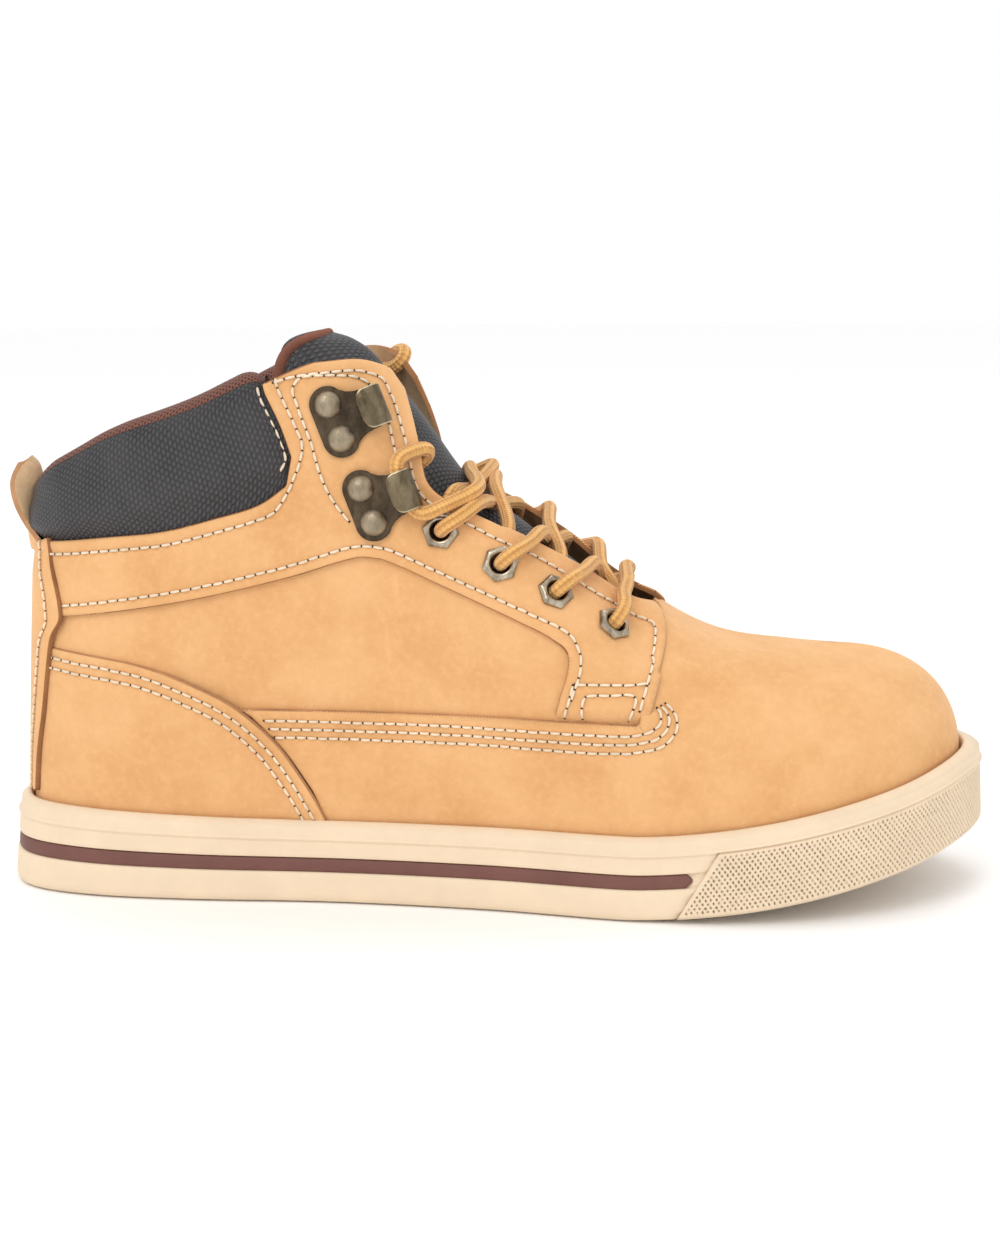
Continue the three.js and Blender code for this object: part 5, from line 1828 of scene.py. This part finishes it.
def through_eyelet(index, side):
    """Over the throat's edge, down the leather, in at an eyelet and up behind the leather."""
    eye = np.array(EYELETS[index], float)
    over = edge_at(eye[0] + (8.5 if index else 2.2))
    under = edge_at(eye[0] + 1.6)
    return [
        on_leather(over, side, LACE_OVER - 0.6, 1.6),
        on_leather(mix(over, eye, 0.35), side, LACE_OVER + 0.3),
        on_leather(mix(over, eye, 0.72), side, LACE_OVER + 1.5),
        on_leather(mix(over, eye, 0.96), side, 4.2),
        on_leather(eye, side, 0.6),
        on_leather(mix(eye, under, 0.25), side, LACE_UNDER),
        on_leather(mix(eye, under, 0.75), side, LACE_UNDER),
        on_leather(under, side, LACE_UNDER + 1.5, 2.6),
    ]


def crest_height(x):
    return float(table_curve(CREST, 1, np.array([x]))[0])


def crossing(x, on_top):
    """The middle of the throat, in the first or second layer of lace."""
    level = crest_height(x) - 4.8 + (2 * LACE_RADIUS + 0.3 if on_top else 0)
    return raised(np.array([x, 0.0, level]))


UNDER_LIP = [[12.9, -6.6, 3.4], [12.3, -3, 3.4], [12.2, 2, 3.4], [12.1, 6, 3.6]]


def round_hooks(side, count):
    """Under the lips of the speed hooks, then over the edge and in behind the eyestay."""
    points = [
        on_leather([-4.5, 119.5], side, LACE_OVER + 0.8, 3.2),
        on_leather([-8.5, 119.6], side, LACE_OVER + 0.3),
    ]
    local = [[19.0, -8.2, 4.0], [15.2, -8.6, 3.6]] + UNDER_LIP
    for hook in HOOKS[:count]:
        middle = np.mean(hook["rivets"], axis=0).tolist()
        place = place_on(middle, side, EYELET_OFFSET + 0.1, hook["lip"])
        points += list(placed([[x, -side * y, z] for x, y, z in local], place))
        local = UNDER_LIP
    points += list(placed([[13.0, -side * 9.2, 3.4]], place))
    tuck = np.array([[-20.2, 134.6], [-33.0, 159.0]][count - 1])
    along = np.array([[-0.4, 1.0], [-1.0, 0.1]][count - 1])
    return points + [
        on_leather(tuck, side, LACE_OVER),
        on_leather(tuck + [2.4, -0.4], side, LACE_OVER - 1.2, 1.6),
        on_leather(tuck + [3.0, -2.4], side, 0.6, 3.4),
        on_leather(tuck + [1.2, -3.4], side, LACE_UNDER, 1.6),
        on_leather(tuck + [-4.3, -3.0], side, LACE_UNDER),
        on_leather(tuck + [-8.6, 0] + 1.0 * along, side, LACE_UNDER),
        on_leather(tuck + [-9.6, 0] + 8.0 * along, side, LACE_UNDER),
        on_leather(tuck + [-10.6, 0] + 15.0 * along, side, LACE_UNDER),
    ]


def lace_half(start):
    """From the bar over the lowest eyelets to the end tucked behind the eyestay."""
    points = through_eyelet(0, start)
    side = start
    for index in range(1, len(EYELETS)):
        side = -side
        x = (EYELETS[index - 1][0] + 1.6 + EYELETS[index][0] + 8.5) / 2
        points.append(crossing(x, (start < 0) == (index % 2 == 1)))
        points += through_eyelet(index, side)
    side = -side
    points.append(crossing(-5.0, start < 0))
    return points + round_hooks(side, 1 if side < 0 else 2)


def lace_route():
    bar = raised(np.array([42.0, 2.0, crest_height(42.0) + 5.0]))
    points = lace_half(LATERAL)[::-1] + [bar] + lace_half(MEDIAL)
    return softened(spline(np.array(points), 0.5), 2.0, 0.5)


AGLET_LENGTH = 12.0


def build_lace():
    route = lace_route()
    run = lengths(route)
    tips = (run < AGLET_LENGTH, run > run[-1] - AGLET_LENGTH)
    lace = tube("lace_look", route[~tips[0] & ~tips[1]], LACE_RADIUS, 20, [LACE])
    show(lace, "boot", "lace_cord", "lace")
    for number, tip in enumerate(tips):
        aglet = tube(f"aglet_{number + 1}_look", route[tip], 1.7, 16, [TIP])
        show(aglet, "boot", "lace_cord", f"aglet_{number + 1}")
    print("lace length, mm:", round(float(run[-1])))


build_lace()


# ---- pieces that keep their CAD shape ----
LOOKS = {
    "midsole_insert": FOAM,
    "steel_midsole": STEEL,
    "toe_cap": STEEL,
    "insole_board": BOARD,
    "heel_stiffener": BOARD,
    "vamp_lining": MESH,
    "toe_cap_edge": RUBBER,
}
for piece, look in LOOKS.items():
    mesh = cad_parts[piece].data
    mesh.materials.clear()
    mesh.materials.append(look)
finish_stitches()


# ---- camera, light and stage ----
CAMERA_TARGET = (3.2, 0.0, 79.5)
CAMERA_AZIMUTH = 4.7
CAMERA_ELEVATION = 10.0
CAMERA_DISTANCE = 632.0
CAMERA_ROLL = -0.57
CAMERA_LENS = 73.44


def add_camera():
    azimuth = math.radians(CAMERA_AZIMUTH)
    elevation = math.radians(CAMERA_ELEVATION)
    roll = math.radians(CAMERA_ROLL)
    back = Vector((
        math.sin(azimuth) * math.cos(elevation),
        -math.cos(azimuth) * math.cos(elevation),
        math.sin(elevation),
    ))
    level = Vector((math.cos(azimuth), math.sin(azimuth), 0))
    upright = back.cross(level)
    right = level * math.cos(roll) + upright * math.sin(roll)
    up = upright * math.cos(roll) - level * math.sin(roll)
    data = bpy.data.cameras.new("camera")
    data.sensor_fit = "HORIZONTAL"
    data.sensor_width = 36
    data.lens = CAMERA_LENS
    camera = bpy.data.objects.new("camera", data)
    place = (Vector(CAMERA_TARGET) + back * CAMERA_DISTANCE) * MM
    rows = [[right[k], up[k], back[k], place[k]] for k in range(3)] + [[0, 0, 0, 1]]
    camera.matrix_world = Matrix(rows)
    bpy.context.scene.collection.objects.link(camera)
    bpy.context.scene.camera = camera


LIGHT_TARGET = Vector((0, 0, 0.08))


def add_light(name, place, size, power):
    data = bpy.data.lights.new(name, "AREA")
    data.shape = "DISK"
    data.size = size
    data.energy = power
    light = bpy.data.objects.new(name, data)
    light.location = place
    aim = LIGHT_TARGET - Vector(place)
    light.rotation_euler = aim.to_track_quat("-Z", "Y").to_euler()
    bpy.context.scene.collection.objects.link(light)


def add_stage():
    floor_material = bpy.data.materials.new("pale floor")
    floor_material.use_nodes = True
    shader = floor_material.node_tree.nodes["Principled BSDF"]
    shader.inputs["Base Color"].default_value = (0.985, 0.985, 0.985, 1)
    shader.inputs["Roughness"].default_value = 0.7
    mesh = bpy.data.meshes.new("floor")
    reach = 6.0
    corners = [(-reach, -reach, 0), (reach, -reach, 0), (reach, reach, 0), (-reach, reach, 0)]
    mesh.from_pydata(corners, [], [(0, 1, 2, 3)])
    mesh.materials.append(floor_material)
    floor = bpy.data.objects.new("floor", mesh)
    floor.location.z = -0.4 * MM
    bpy.context.scene.collection.objects.link(floor)
    world = bpy.data.worlds.new("studio")
    bpy.context.scene.world = world
    world.use_nodes = True
    background = world.node_tree.nodes["Background"]
    background.inputs["Color"].default_value = (1.0, 1.0, 1.0, 1)
    background.inputs["Strength"].default_value = 1.0
    add_light("key", (-0.5, -1.1, 1.3), 0.9, 7.4)
    add_light("fill", (0.9, -1.0, 0.7), 0.8, 0.8)
    add_light("top", (0.1, 0.5, 1.5), 1.0, 4)


add_camera()
add_stage()
bpy.context.scene.view_settings.view_transform = "Standard"

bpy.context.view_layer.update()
